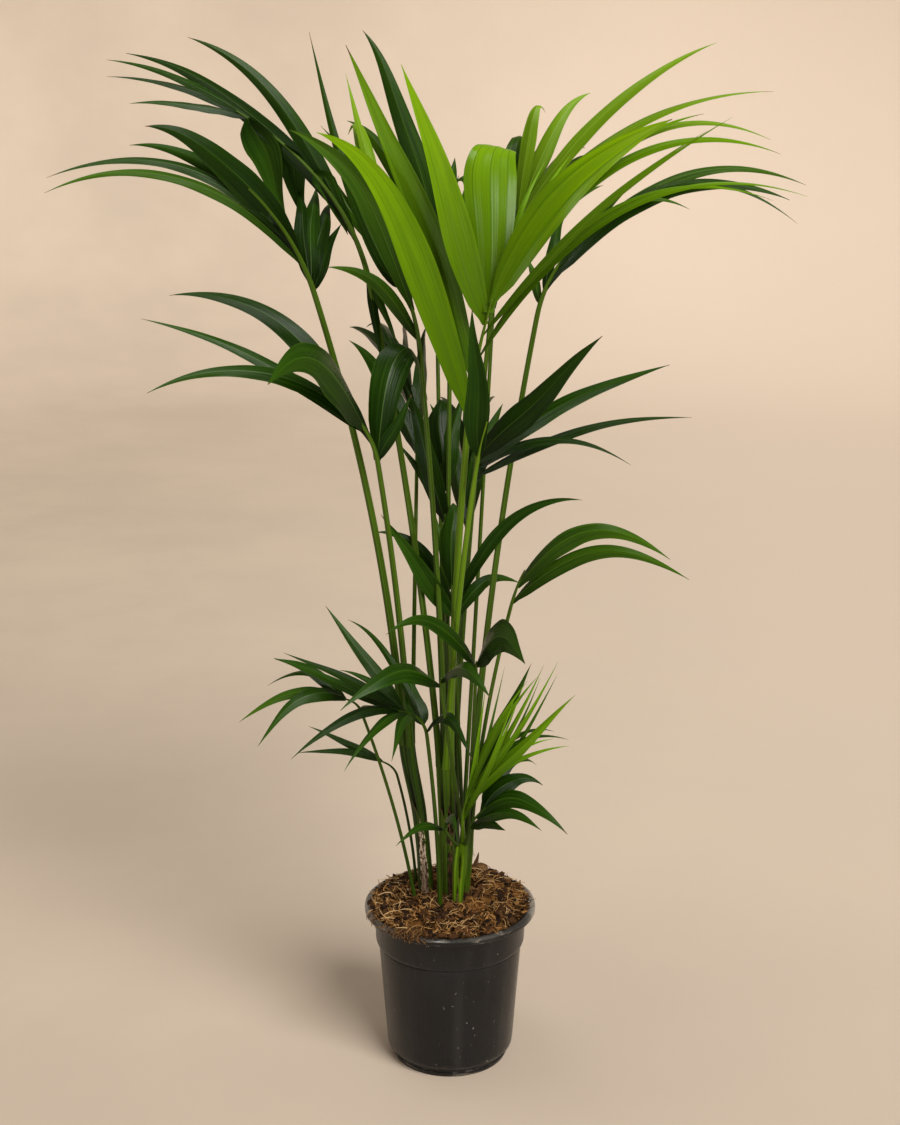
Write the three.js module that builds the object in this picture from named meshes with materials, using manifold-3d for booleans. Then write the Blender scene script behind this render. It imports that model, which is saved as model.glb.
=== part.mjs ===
// Potted kentia palm: several young palms in one nursery pot, about 1.2 m tall.
// Millimetres, +Z up. The origin is the middle of the pot's flat underside.
// Headings are degrees about +Z from +X (90 is +Y, the back of the plant); rises are degrees above level.

import * as THREE from 'three';
import { mergeVertices } from 'three/addons/utils/BufferGeometryUtils.js';
import Module from 'manifold-3d';

const wasm = await Module();
wasm.setup();

// ---- Driving dimensions: pot ----

const POT_HEIGHT = 200;
const RIM_RADIUS = 105;
const LIP_HEIGHT = 8;
const COLLAR_RADIUS = 92.5;
const COLLAR_FOOT_HEIGHT = 152;
const WALL_TOP_RADIUS = 88;
const WALL_FOOT_RADIUS = 78;
const WALL_FOOT_HEIGHT = 17;
const FOOT_RADIUS = 71;
const FOOT_HEIGHT = 8;
const WALL_THICKNESS = 3;
const FLOOR_THICKNESS = 4;
const DRAIN_HOLE_RADIUS = 5;
const DRAIN_HOLE_COUNT = 8;
const DRAIN_RING_RADIUS = 46;
const POT_SIDES = 30;
const SOIL_SIDES = POT_SIDES / 2;

// ---- Driving dimensions: potting mix ----

const SOIL_RADIUS = 97;
const SOIL_EDGE_HEIGHT = 202;
const SOIL_CROWN_HEIGHT = 213;
const SOIL_ROUGHNESS = 2.4;
const SOIL_RINGS = 4;
const MOUND_PLACE = [36, 56];
const MOUND_HEIGHT = 10;
const MOUND_SPREAD = 24;

// ---- Driving dimensions: plant ----

const CLEARANCE = 0.35;
const BLADE_CLEARANCE = 0.9;
const MERGE_DISTANCE = 0.05;
const STEM_SUNK_TO = 168;
const STEM_SIDES = 10;
const STEM_STEPS = 5;
const STEM_FOOT_FLARE = 1.15;
const STEM_SUNK_FLARE = 1.05;
const STEM_HOLDS_UPRIGHT = 0.4;
const BUNDLE_RADIUS = 6.2;
const BUNDLE_LIFT = 1.5;
const PETIOLE_SIDES = 6;
const PETIOLE_STEPS = 5;
const RIB_STEPS = 3;
const RIB_TIP_RADIUS = 1.5;
const RIB_FIRST_LEAF = 0.05;
const RIB_LAST_LEAF = 0.97;
const LEAF_STEP_LENGTH = 74;
const LEAF_LEAST_STEPS = 3;
const LEAF_SIDES = 3;
const LEAF_THICKNESS_RATIO = 0.0115;
const LEAF_LEAST_THICKNESS = 1.8;
const LEAF_ROOT_WIDTH = 0.42;
const LEAF_TIP_WIDTH = 0.05;
const LEAF_WIDEST_AT = 0.36;
const LEAF_TAPER = 1.25;
const LEAF_BOW_AT = 0.45;
const LEAF_TWIST = 0.12;
const LEAF_TIP_THINNING = 0.45;

// A stem is the sleeve of old leaf bases that one palm's petioles rise from.
const STEMS = {
  left: { foot: [-30, 8, 210], top: [-50, 14, 400], radius: [9, 7.5] },
  centre: { foot: [-3, -4, 212], top: [-6, -6, 380], radius: [9.5, 9] },
  back: { foot: [3, 25, 212], top: [0, 32, 375], radius: [9.5, 9] },
  right: { foot: [17, 4, 211], top: [20, -7, 300], radius: [7, 7] },
  front: { foot: [9, -27, 211], top: [13, -36, 292], radius: [6.5, 6] },
};

// One entry a frond. from: the stem its petiole leaves, or the point where it leaves the soil.
// side: its place in the bundle on that stem. crook: where its blade begins. crest: where its rib ends.
// sway: how far the petiole's middle stands off the straight line. face: where its blades look.
// Each fan is a run of leaflets; a list is read evenly from its first leaflet to its last.
const FRONDS = {
  left: {
    from: 'left', side: 165, crook: [-150, -20, 945], crest: [-215, -70, 1065], sway: [15, 6],
    girth: [5, 3.3], face: 280,
    fans: [
      { leaves: 4, at: [0.3, 0.6, 0.45, 0.25], heading: [202, 176, 195, 202], rise: [41, 28, 16, 17],
        length: [222, 187, 270, 292], bow: [75, 55, 100, 115], width: [34, 20, 14, 15], tilt: [20, 45] },
      { leaves: 4, at: [0.12, 0.1, 0.08, 0.05], heading: [103, 90, 80, 69], rise: [49, 46, 42, 41],
        length: [128, 138, 128, 103], bow: [25, 40, 40, 15], width: [24, 24, 22, 16], tilt: [20] },
    ],
  },
  upper_left: {
    from: 'centre', side: 190, crook: [-91, 35, 950], crest: [-236, 15, 1145], sway: [8, 0],
    girth: [4, 3.4], face: 262,
    fans: [
      { leaves: 5, at: [0.2, 0.35, 0.8, 0.85, 0.95], heading: [185, 189, 191, 191, 197],
        rise: [51, 37, 25, 19, 7], length: [292, 295, 203, 184, 129], bow: [95, 76, 35, 35, 15],
        width: [21, 22, 12, 12, 13], tilt: [20, 50] },
      { leaves: 3, at: [0.95, 0.6], heading: [45, 64, 20], rise: [-65, -60], length: [125, 81], bow: [15, 25],
        width: [38, 24], tilt: [15] },
      { leaves: 2, at: [0.05], heading: [317, 324], rise: [-78, -62], length: [110, 92], bow: [20, 10],
        width: [12, 10], tilt: [15] },
    ],
  },
  centre_left: {
    from: 'centre', side: 100, crook: [-35, 10, 885], crest: [-90, 40, 1010], sway: [5, 0],
    girth: [4, 2.8], face: 270,
    fans: [
      { leaves: 2, at: [0.05, 0.3], heading: [197, 202], rise: [39, 55], length: [136, 244], bow: [50, 95],
        width: [18, 27], tilt: [20] },
      { leaves: 4, at: [0.5, 0.6, 0.8, 0.9], heading: [159, 125, 163, 109], rise: [68, 64, 52, 44],
        length: [300, 246, 174, 169], bow: [-100, 10, -10, 120], width: [20, 17, 15, 20], tilt: [20] },
    ],
  },
  bright: {
    from: 'centre', side: 10, crook: [20, -65, 810], crest: [45, -100, 950], sway: [-4, -6],
    girth: [4.6, 3.6], face: 265,
    fans: [
      { leaves: 3, at: [0.03, 0.35, 0.8], heading: [209, 188, 199], rise: [60, 69, 71],
        length: [356, 377, 285], bow: [140, 50, 15], width: [37, 32, 34], tilt: [15] },
      { leaves: 1, at: [0.9], heading: [82], rise: [34], length: [187], bow: [230], width: [58], tilt: [0] },
      { leaves: 4, at: [0.97], heading: [338, 346, 348, 342], rise: [45, 42, 31, 28],
        length: [273, 296, 335, 340], bow: [72, 88, 165, 152], width: [40, 12, 12, 13], tilt: [25, 40] },
      { leaves: 3, at: [0.7, 0.5, 0.95], heading: [323, 330, 58], rise: [39, 28, 46],
        length: [380, 414, 222], bow: [45, 160, 30], width: [13, 14, 13], tilt: [30] },
    ],
  },
  mid_right: {
    from: 'centre', side: 280, crook: [25, -82, 735], crest: [40, -112, 820], sway: [-4, -8],
    girth: [4, 2.9], face: 265,
    fans: [
      { leaves: 5, at: [0.5, 0.5, 0.4, 0.2, 0.3], heading: [261, 329, 349, 4, 350],
        rise: [72, 44, 29, 15, 4], length: [177, 205, 237, 249, 171], bow: [0, 5, 30, 40, 65],
        width: [28, 31, 20, 12, 12], tilt: [20, 40] },
      { leaves: 1, at: [0.1], heading: [57], rise: [36], length: [137], bow: [30], width: [15], tilt: [20] },
    ],
  },
  back: {
    from: 'back', side: 216, crook: [0, 90, 895], crest: [-30, 120, 1005], sway: [0, 4], girth: [3.4, 2.6],
    face: 268,
    fans: [
      { leaves: 3, at: [0.3, 0.9, 0.6], heading: [171, 160, 164], rise: [72, 53, 48], length: [319, 172, 220],
        bow: [100, 60, 10], width: [28, 22, 18], tilt: [15] },
      { leaves: 3, at: [0.2, 0.8], heading: [62, 100], rise: [72, 45], length: [160, 160], bow: [30, 60],
        width: [26, 24], tilt: [10] },
    ],
  },
  right_back: {
    from: 'back', side: 0, crook: [50, 100, 925], crest: [85, 140, 1025], sway: [-4, -4],
    girth: [3.4, 2.6], face: 265,
    fans: [
      { leaves: 5, at: [0.9, 0.9, 0.7, 0.8, 0.8], heading: [38, 28, 2, 8, 355], rise: [71, 56, 43, 46, 28],
        length: [132, 178, 326, 250, 338], bow: [110, 65, 80, 45, 90], width: [18, 21, 18, 14, 15],
        tilt: [20, 40] },
      { leaves: 3, at: [0.1, 0.5, 0.8], heading: [132, 124, 83], rise: [60, 68, 42],
        length: [140, 117, 125], bow: [110, 20, 120], width: [24, 18, 28], tilt: [10] },
    ],
  },
  back_mid: {
    from: 'back', side: 288, crook: [-5, 50, 640], crest: [-10, 90, 725], sway: [0, 0], girth: [2.8, 2.2],
    face: 270,
    fans: [
      { leaves: 4, at: [0.3, 0.5, 0.8, 0.7], heading: [170, 161, 95, 60], rise: [74, 52, 58, 67],
        length: [172, 99, 110, 125], bow: [15, 0, 60, 20], width: [26, 12, 34, 22], tilt: [15] },
    ],
  },
  rear_high: {
    from: 'back', side: 144, crook: [-15, 150, 850], crest: [-20, 205, 950], sway: [0, -12],
    girth: [3, 2.4], face: 90,
    fans: [
      { leaves: 6, at: [0.1, 0.95, 0.1], heading: [130, 98, 76], rise: [60, 25, 62], length: [240, 220, 230],
        bow: [60, 90, 60], width: [24], tilt: [30, 50, 30] },
    ],
  },
  rear_low: {
    from: 'back', side: 72, crook: [20, 105, 640], crest: [25, 145, 715], sway: [0, -10],
    girth: [2.6, 2.2], face: 90,
    fans: [
      { leaves: 5, at: [0.1, 0.95, 0.1], heading: [118, 90, 62], rise: [55, 15, 55], length: [170, 190, 170],
        bow: [50, 80, 50], width: [22], tilt: [30, 50, 30] },
    ],
  },
  rear_right: {
    from: [12, 44, 200], side: 0, crook: [52, 160, 900], crest: [80, 212, 985], sway: [0, -12],
    girth: [2.8, 2.2], face: 60,
    fans: [
      { leaves: 6, at: [0.1, 0.95, 0.2], heading: [76, 50, 25], rise: [60, 28, 42], length: [230, 220, 200],
        bow: [60, 90, 60], width: [24], tilt: [30, 50, 30] },
    ],
  },
  rear_left: {
    from: 'left', side: 45, crook: [-40, 95, 735], crest: [-52, 142, 808], sway: [0, -10],
    girth: [2.8, 2.2], face: 110,
    fans: [
      { leaves: 5, at: [0.1, 0.95, 0.1], heading: [138, 108, 85], rise: [48, 18, 50], length: [170, 200, 180],
        bow: [50, 80, 50], width: [24], tilt: [30, 50, 30] },
    ],
  },
  mid_left: {
    from: 'left', side: 285, crook: [-80, -70, 765], crest: [-125, -110, 845], sway: [4, 6],
    girth: [4.2, 3], face: 275,
    fans: [
      { leaves: 3, at: [0.3, 0.4, 0.4], heading: [183, 191, 201], rise: [37, 29, 14],
        length: [269, 275, 250], bow: [110, 40, 95], width: [26, 17, 20], tilt: [20, 40] },
      { leaves: 1, at: [0.5], heading: [242], rise: [22], length: [200], bow: [92], width: [50],
        tilt: [35] },
      { leaves: 2, at: [0.05], heading: [62, 16], rise: [23, 61], length: [127, 82], bow: [188, 0],
        width: [40, 16], tilt: [10] },
    ],
  },
  right: {
    from: 'right', side: 60, crook: [100, 40, 915], crest: [192, 60, 1030], sway: [-10, -4],
    girth: [4.2, 3], face: 268,
    fans: [
      { leaves: 5, at: [0.3, 0.3, 0.2, 0.4, 0.5], heading: [3, 355, 351, 346, 8], rise: [20, 19, 16, 25, 45],
        length: [311, 283, 293, 166, 124], bow: [125, 118, 165, 80, 25], width: [17, 26, 13, 13, 17],
        tilt: [45, 55] },
      { leaves: 2, at: [0.2, 0.1], heading: [67, 107], rise: [49, 46], length: [110, 73], bow: [40, 10],
        width: [14, 11], tilt: [10] },
    ],
  },
  low_right: {
    from: 'right', side: 345, crook: [70, -40, 590], crest: [85, -60, 640], sway: [-6, -4], girth: [2.6, 2.1],
    face: 268,
    fans: [
      { leaves: 2, at: [0.5, 0.1], heading: [337, 330], rise: [16, 15], length: [187, 225], bow: [95, 90],
        width: [24, 20], tilt: [30] },
    ],
  },
  pair_right: {
    from: 'right', side: 285, crook: [30, -60, 515], crest: [30, -72, 535], sway: [0, -4], girth: [2.4, 2],
    face: 268,
    fans: [
      { leaves: 2, at: [0.4, 0.7], heading: [220, 296], rise: [27, 17], length: [147, 122], bow: [68, 70],
        width: [19, 46], tilt: [35] },
    ],
  },
  pair_left: {
    from: 'right', side: 225, crook: [-10, -90, 505], crest: [-10, -102, 525], sway: [0, -8], girth: [2.4, 2],
    face: 268,
    fans: [
      { leaves: 2, at: [0.4, 0.7], heading: [218, 300], rise: [0, 7], length: [138, 109], bow: [55, 45],
        width: [27, 22], tilt: [40] },
    ],
  },
  low_bright: {
    from: 'front', side: 60, crook: [15, -44, 322], crest: [30, -60, 385], sway: [0, 0], girth: [2.6, 2.2],
    face: 262,
    fans: [
      { leaves: 5, at: [0.1, 0.3, 0.2, 0.6, 0.9], heading: [309, 349, 313, 326, 0],
        rise: [77, 77, 63, 62, 66], length: [184, 192, 210, 199, 164], bow: [-45, -35, -25, 35, 5],
        width: [9, 10, 11, 12, 16], tilt: [20] },
      { leaves: 5, at: [0.8, 0.6, 0.5, 0.7, 0.4], heading: [337, 353, 336, 349, 357],
        rise: [60, 59, 49, 37, 37], length: [206, 193, 205, 144, 150], bow: [-25, -40, 5, 60, 40],
        width: [13, 12, 16, 12, 12], tilt: [20] },
    ],
  },
  low_dark: {
    from: 'front', side: 330, crook: [24, -50, 320], crest: [42, -62, 350], sway: [0, 0], girth: [2.2, 1.9],
    face: 285,
    fans: [
      { leaves: 5, at: [0.9, 0.8, 0.5, 0.2, 0.1], heading: [43, 0, 333, 312, 296],
        rise: [20, 25, 1, 14, 18], length: [95, 80, 118, 120, 92], bow: [70, 50, 65, 35, 10],
        width: [25, 23, 24, 19, 17], tilt: [40] },
    ],
  },
  seedling: {
    from: 'front', side: 230, crook: [-4, -58, 318], crest: [-8, -68, 326], sway: [0, -3], girth: [1.9, 1.6],
    face: 268,
    fans: [
      { leaves: 2, at: [0.4, 0.7], heading: [225, 284], rise: [3, 7], length: [80, 68], bow: [25, 50],
        width: [11, 14], tilt: [40] },
    ],
  },
  low_left: {
    from: [-12, -32, 203], side: 0, crook: [-27, -48, 435], crest: [-60, -72, 475], sway: [3, -3],
    girth: [2.8, 2.2], face: 272,
    fans: [
      { leaves: 4, at: [0.9, 0.8, 1, 0.9], heading: [163, 191, 161, 174], rise: [52, 30, 17, 33],
        length: [152, 164, 164, 88], bow: [5, 10, 5, 25], width: [16, 12, 13, 10], tilt: [25] },
      { leaves: 4, at: [1, 0.8, 0.6, 0.1], heading: [214, 240, 258, 303], rise: [-11, -11, -6, -2],
        length: [146, 137, 116, 97], bow: [40, 35, 40, 65], width: [14, 13, 15, 17], tilt: [45] },
      { leaves: 2, at: [0.3, 0.4], heading: [133, 141], rise: [64, 42], length: [64, 153], bow: [0, 50],
        width: [24, 9], tilt: [15] },
    ],
  },
  side_left: {
    from: [-42, -10, 203], side: 0, crook: [-105, -20, 455], crest: [-125, -30, 475], sway: [6, 0],
    girth: [2.2, 1.8], face: 268,
    fans: [
      { leaves: 4, at: [1, 0.9, 1, 0.9], heading: [173, 159, 177, 212], rise: [29, 2, -14, -17],
        length: [96, 104, 130, 122], bow: [20, 50, 40, 60], width: [15, 9, 15, 19], tilt: [35] },
      { leaves: 1, at: [0.1], heading: [71], rise: [-13], length: [60], bow: [0], width: [8], tilt: [20] },
    ],
  },
  side_left_low: {
    from: [-42, 34, 201], side: 0, crook: [-65, 40, 350], crest: [-90, 42, 370], sway: [4, 0],
    girth: [1.9, 1.6], face: 268,
    fans: [
      { leaves: 2, at: [0.8, 0.9], heading: [174, 191], rise: [25, 10], length: [102, 104], bow: [5, 15],
        width: [10, 9], tilt: [25] },
    ],
  },
  low_back: {
    from: [17, 17, 203], side: 0, crook: [4, 16, 545], crest: [2, 30, 605], sway: [2, 0], girth: [2.4, 2],
    face: 268,
    fans: [
      { leaves: 3, at: [0.3, 0.5, 0.8], heading: [209, 186, 123], rise: [55, 45, 66], length: [164, 129, 100],
        bow: [0, 60, 0], width: [23, 15, 15], tilt: [15] },
      { leaves: 4, at: [0.8, 0.4, 0.5, 0.2], heading: [87, 339, 70, 24], rise: [65, 43, 39, 22],
        length: [105, 216, 69, 96], bow: [60, 90, 0, 50], width: [26, 16, 17, 17], tilt: [20] },
    ],
  },
};

// ---- Finishes ----

const FINISHES = {
  pot: new THREE.MeshStandardMaterial({ color: 0x1b1c1e, roughness: 0.5 }),
  soil: new THREE.MeshStandardMaterial({ color: 0x5a3a22, roughness: 0.95 }),
  stem: new THREE.MeshStandardMaterial({ color: 0x4c6a2a, roughness: 0.6 }),
  petiole: new THREE.MeshStandardMaterial({ color: 0x4f7a2c, roughness: 0.5 }),
  leaf: new THREE.MeshStandardMaterial({ color: 0x1f4a1e, roughness: 0.45 }),
  young_leaf: new THREE.MeshStandardMaterial({ color: 0x6fa52c, roughness: 0.45 }),
};
const YOUNG_FRONDS = ['bright', 'low_bright'];

// ---- Helpers: measures ----

function point([x, y, z]) {
  return new THREE.Vector3(x, y, z);
}

function aim(heading, rise) {
  const turn = THREE.MathUtils.degToRad(heading);
  const climb = THREE.MathUtils.degToRad(rise);
  return new THREE.Vector3(
    Math.cos(climb) * Math.cos(turn),
    Math.cos(climb) * Math.sin(turn),
    Math.sin(climb),
  );
}

// Reads a list evenly: t = 0 gives its first value, t = 1 its last.
function along(list, t) {
  const place = t * (list.length - 1);
  const before = Math.min(Math.floor(place), list.length - 1);
  const after = Math.min(before + 1, list.length - 1);
  return THREE.MathUtils.lerp(list[before], list[after], place - before);
}

// ---- Helpers: solids ----

function solidOf(geometry) {
  const bare = geometry.clone();
  bare.deleteAttribute('normal');
  bare.deleteAttribute('uv');
  const merged = mergeVertices(bare, 1e-5);
  return new wasm.Manifold(new wasm.Mesh({
    numProp: 3,
    vertProperties: new Float32Array(merged.attributes.position.array),
    triVerts: new Uint32Array(merged.index.array),
  }));
}

// Corners that a cut leaves closer together than the merge distance become one.
function mergedCorners(places, triangles) {
  const mergedInto = Array.from({ length: places.length / 3 }, (_, i) => i);
  const find = (corner) => (mergedInto[corner] === corner ? corner : find(mergedInto[corner]));
  const from = new THREE.Vector3();
  const to = new THREE.Vector3();
  for (let i = 0; i < triangles.length; i += 1) {
    const next = i % 3 === 2 ? i - 2 : i + 1;
    from.fromArray(places, 3 * triangles[i]);
    to.fromArray(places, 3 * triangles[next]);
    if (from.distanceTo(to) < MERGE_DISTANCE) {
      const ends = [find(triangles[i]), find(triangles[next])];
      mergedInto[Math.max(...ends)] = Math.min(...ends);
    }
  }
  return find;
}

// The triangles that merging empties are dropped, alone or as a pair of opposite faces.
function geometryOf(solid) {
  const { vertProperties, triVerts } = solid.getMesh();
  const find = mergedCorners(vertProperties, triVerts);
  const faces = new Map();
  for (let i = 0; i < triVerts.length; i += 3) {
    const face = [...triVerts.slice(i, i + 3)].map(find);
    const corners = [...new Set(face)].sort((a, b) => a - b);
    const key = corners.join();
    if (corners.length === 3 && !faces.delete(key)) {
      faces.set(key, face);
    }
  }
  const geometry = new THREE.BufferGeometry();
  geometry.setAttribute('position', new THREE.Float32BufferAttribute(vertProperties, 3));
  geometry.setIndex([...faces.values()].flat());
  const merged = mergeVertices(geometry.toNonIndexed(), 1e-5);
  merged.computeVertexNormals();
  return merged;
}

function largestPiece(solid) {
  const pieces = solid.decompose();
  return pieces.reduce((best, piece) => (piece.volume() > best.volume() ? piece : best));
}

// Bends an upright unit cylinder along a curve. section(s) gives its half widths at the share s of the
// curve, frame(s) the two directions that they are measured in, and reach how far its ends stand past.
function bentCylinder({ sides, steps, curve, section, frame, reach }) {
  const blank = new THREE.CylinderGeometry(1, 1, 1, sides, steps);
  const places = blank.attributes.position;
  const vertex = new THREE.Vector3();
  for (let i = 0; i < places.count; i += 1) {
    vertex.fromBufferAttribute(places, i);
    const s = THREE.MathUtils.clamp(vertex.y + 0.5, 0, 1);
    const { across, outward } = frame(s);
    const [halfWidth, halfDepth] = section(s);
    const place = curve.getPoint(s).addScaledVector(curve.getTangent(s), reach * (2 * s - 1));
    place.addScaledVector(across, vertex.x * halfWidth);
    place.addScaledVector(outward, vertex.z * halfDepth);
    places.setXYZ(i, place.x, place.y, place.z);
  }
  return solidOf(blank);
}

function limbFrame(curve, s) {
  const tangent = curve.getTangent(s);
  const across = new THREE.Vector3(1, 0, 0).addScaledVector(tangent, -tangent.x).normalize();
  const outward = across.clone().cross(tangent);
  return { across, outward };
}

// A limb tapers evenly from its first radius to its last.
function limb(curve, radii, sides, steps, extra = 0) {
  const section = (s) => {
    const radius = along(radii, s) + extra;
    return [radius, radius];
  };
  const frame = (s) => limbFrame(curve, s);
  return bentCylinder({ sides, steps, curve, section, frame, reach: extra });
}

// ---- Pot and soil ----

// Outer wall from the foot up to the lip, as [radius, height]. The corners are eased by a few millimetres.
function potWall() {
  return [
    [FOOT_RADIUS, 0],
    [FOOT_RADIUS + 1, FOOT_HEIGHT],
    [WALL_FOOT_RADIUS - 2, WALL_FOOT_HEIGHT - 3],
    [WALL_FOOT_RADIUS, WALL_FOOT_HEIGHT + 2],
    [WALL_TOP_RADIUS, COLLAR_FOOT_HEIGHT - 2],
    [COLLAR_RADIUS - 1, COLLAR_FOOT_HEIGHT + 1],
    [COLLAR_RADIUS, POT_HEIGHT - LIP_HEIGHT],
  ];
}

// The pot's inside, from its floor up to the inner edge of the lip.
function potInside(inset) {
  return [
    [FOOT_RADIUS - WALL_THICKNESS - inset, FLOOR_THICKNESS + inset],
    [WALL_FOOT_RADIUS - WALL_THICKNESS - inset, WALL_FOOT_HEIGHT + 2],
    [WALL_TOP_RADIUS - WALL_THICKNESS - inset, COLLAR_FOOT_HEIGHT],
    [COLLAR_RADIUS - WALL_THICKNESS - inset, COLLAR_FOOT_HEIGHT + 4],
    [COLLAR_RADIUS - WALL_THICKNESS - inset, POT_HEIGHT - LIP_HEIGHT + 1],
  ];
}

function lathe(profile, sides) {
  const points = profile.map(([radius, height]) => new THREE.Vector2(radius, height));
  const geometry = new THREE.LatheGeometry(points, sides);
  geometry.rotateX(Math.PI / 2);
  return geometry;
}

function potSolid() {
  const lip = [
    [RIM_RADIUS - 2, POT_HEIGHT - LIP_HEIGHT],
    [RIM_RADIUS, POT_HEIGHT - LIP_HEIGHT + 2],
    [RIM_RADIUS, POT_HEIGHT - 2],
    [RIM_RADIUS - 1.5, POT_HEIGHT],
    [RIM_RADIUS - 7, POT_HEIGHT],
  ];
  const inside = potInside(0).reverse();
  const profile = [[0, 0], ...potWall(), ...lip, ...inside, [0, FLOOR_THICKNESS]];
  let pot = solidOf(lathe(profile, POT_SIDES));
  for (let i = 0; i < DRAIN_HOLE_COUNT; i += 1) {
    const turn = (i + 0.5) * 2 * Math.PI / DRAIN_HOLE_COUNT;
    const hole = new THREE.CylinderGeometry(DRAIN_HOLE_RADIUS, DRAIN_HOLE_RADIUS, 4 * FLOOR_THICKNESS, 8);
    hole.rotateX(Math.PI / 2);
    hole.translate(DRAIN_RING_RADIUS * Math.cos(turn), DRAIN_RING_RADIUS * Math.sin(turn), 0);
    pot = pot.subtract(solidOf(hole));
  }
  return pot;
}

// Height of the heaped mix at a place: a dome with a mound behind the stems, dented by a few slow waves.
function soilHeight(x, y) {
  const reach = Math.min(Math.hypot(x, y) / SOIL_RADIUS, 1);
  const heap = THREE.MathUtils.lerp(SOIL_CROWN_HEIGHT, SOIL_EDGE_HEIGHT, reach * reach);
  const offMound = Math.hypot(x - MOUND_PLACE[0], y - MOUND_PLACE[1]) / MOUND_SPREAD;
  const broadDents = Math.sin(x * 0.11 + 1) * Math.cos(y * 0.13);
  const smallDents = 0.6 * Math.sin(x * 0.23 - y * 0.19);
  const relief = MOUND_HEIGHT * Math.exp(-offMound * offMound) + SOIL_ROUGHNESS * (broadDents + smallDents);
  return heap + relief * (1 - reach ** 4);
}

// The mix fills the pot up to the lip's inner slope and lies on it.
function soilSolid() {
  const top = [[SOIL_RADIUS, POT_HEIGHT + CLEARANCE]];
  for (let i = 0; i <= SOIL_RINGS; i += 1) {
    top.push([(SOIL_RADIUS - 1) * (1 - i / SOIL_RINGS), SOIL_EDGE_HEIGHT]);
  }
  const inside = potInside(CLEARANCE);
  const geometry = lathe([[0, FLOOR_THICKNESS + CLEARANCE], ...inside, ...top], SOIL_SIDES);
  const places = geometry.attributes.position;
  for (let i = 0; i < places.count; i += 1) {
    if (places.getZ(i) > POT_HEIGHT + 2 * CLEARANCE) {
      places.setZ(i, soilHeight(places.getX(i), places.getY(i)));
    }
  }
  return solidOf(geometry);
}

// ---- Stems and petioles ----

function stemCurve({ foot, top }) {
  const base = point(foot);
  const middle = base.clone().lerp(point(top), 0.5);
  middle.x = THREE.MathUtils.lerp(middle.x, base.x, STEM_HOLDS_UPRIGHT);
  const sunk = base.clone().setZ(STEM_SUNK_TO);
  return new THREE.CatmullRomCurve3([sunk, base, middle, point(top)]);
}

function stemSolid(stem, extra = 0) {
  const [footRadius, topRadius] = stem.radius;
  const radii = [
    footRadius * STEM_SUNK_FLARE,
    footRadius * STEM_FOOT_FLARE,
    footRadius,
    topRadius,
    topRadius,
  ];
  return limb(stemCurve(stem), radii, STEM_SIDES, STEM_STEPS, extra);
}

function petioleFoot(frond) {
  if (Array.isArray(frond.from)) {
    return point(frond.from);
  }
  const foot = point(STEMS[frond.from].top).addScaledVector(aim(frond.side, 0), BUNDLE_RADIUS);
  foot.z += BUNDLE_LIFT;
  return foot;
}

function petioleCurve(frond) {
  const foot = petioleFoot(frond);
  const crook = point(frond.crook);
  const middle = foot.clone().lerp(crook, 0.5);
  middle.x += 2 * frond.sway[0];
  middle.y += 2 * frond.sway[1];
  return new THREE.QuadraticBezierCurve3(foot, middle, crook);
}

// ---- Blades ----

// The rib goes on from the petiole's tip, the clearance away, and curves to the crest.
function ribCurve(frond) {
  const onward = petioleCurve(frond).getTangent(1);
  const start = point(frond.crook).addScaledVector(onward, CLEARANCE);
  const crest = point(frond.crest);
  const middle = start.clone().addScaledVector(onward, start.distanceTo(crest) / 2);
  return new THREE.QuadraticBezierCurve3(start, middle, crest);
}

function leafShape(s) {
  if (s < LEAF_WIDEST_AT) {
    return THREE.MathUtils.lerp(LEAF_ROOT_WIDTH, 1, Math.sin((s / LEAF_WIDEST_AT) * Math.PI / 2));
  }
  const past = (s - LEAF_WIDEST_AT) / (1 - LEAF_WIDEST_AT);
  return Math.max(LEAF_TIP_WIDTH, 1 - past ** LEAF_TAPER);
}

// How far a blade is rolled about its own line, so that one face of its middle looks the way the frond does.
// It rolls by a quarter turn at most, so a leaflet that rises away from that side shows its underside.
function bladeRoll(tangent, sideways, look) {
  const top = tangent.clone().cross(sideways);
  return Math.atan(look.dot(sideways) / look.dot(top));
}

// One leaflet: a keeled strap that arches from its root on the rib to its tip, and levels out towards it.
function leafSolid(root, leaf, face, extra) {
  const tip = root.clone().addScaledVector(aim(leaf.heading, leaf.rise), leaf.length);
  const middle = root.clone().lerp(tip, LEAF_BOW_AT);
  middle.z += leaf.bow;
  const curve = new THREE.QuadraticBezierCurve3(root, middle, tip);
  const sideways = aim(leaf.heading + 90, 0);
  const roll = bladeRoll(curve.getTangent(LEAF_WIDEST_AT), sideways, aim(face, leaf.tilt));
  const thickness = Math.max(LEAF_LEAST_THICKNESS, leaf.length * LEAF_THICKNESS_RATIO);
  const frame = (s) => {
    const tangent = curve.getTangent(s);
    const turn = roll * (1 - LEAF_TWIST * s);
    const outward = tangent.clone().cross(sideways).multiplyScalar(Math.cos(turn));
    outward.addScaledVector(sideways, Math.sin(turn));
    return { across: tangent.clone().cross(outward), outward };
  };
  // A triangle of radius 1 is the square root of 3 wide and 1.5 deep.
  const section = (s) => [
    leaf.width * leafShape(s) / Math.sqrt(3) + 2 * extra,
    thickness * (1 - LEAF_TIP_THINNING * s) / 1.5 + 2 * extra,
  ];
  const steps = Math.max(LEAF_LEAST_STEPS, Math.round(leaf.length / LEAF_STEP_LENGTH));
  return bentCylinder({ sides: LEAF_SIDES, steps, curve, section, frame, reach: 2 * extra });
}

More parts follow.
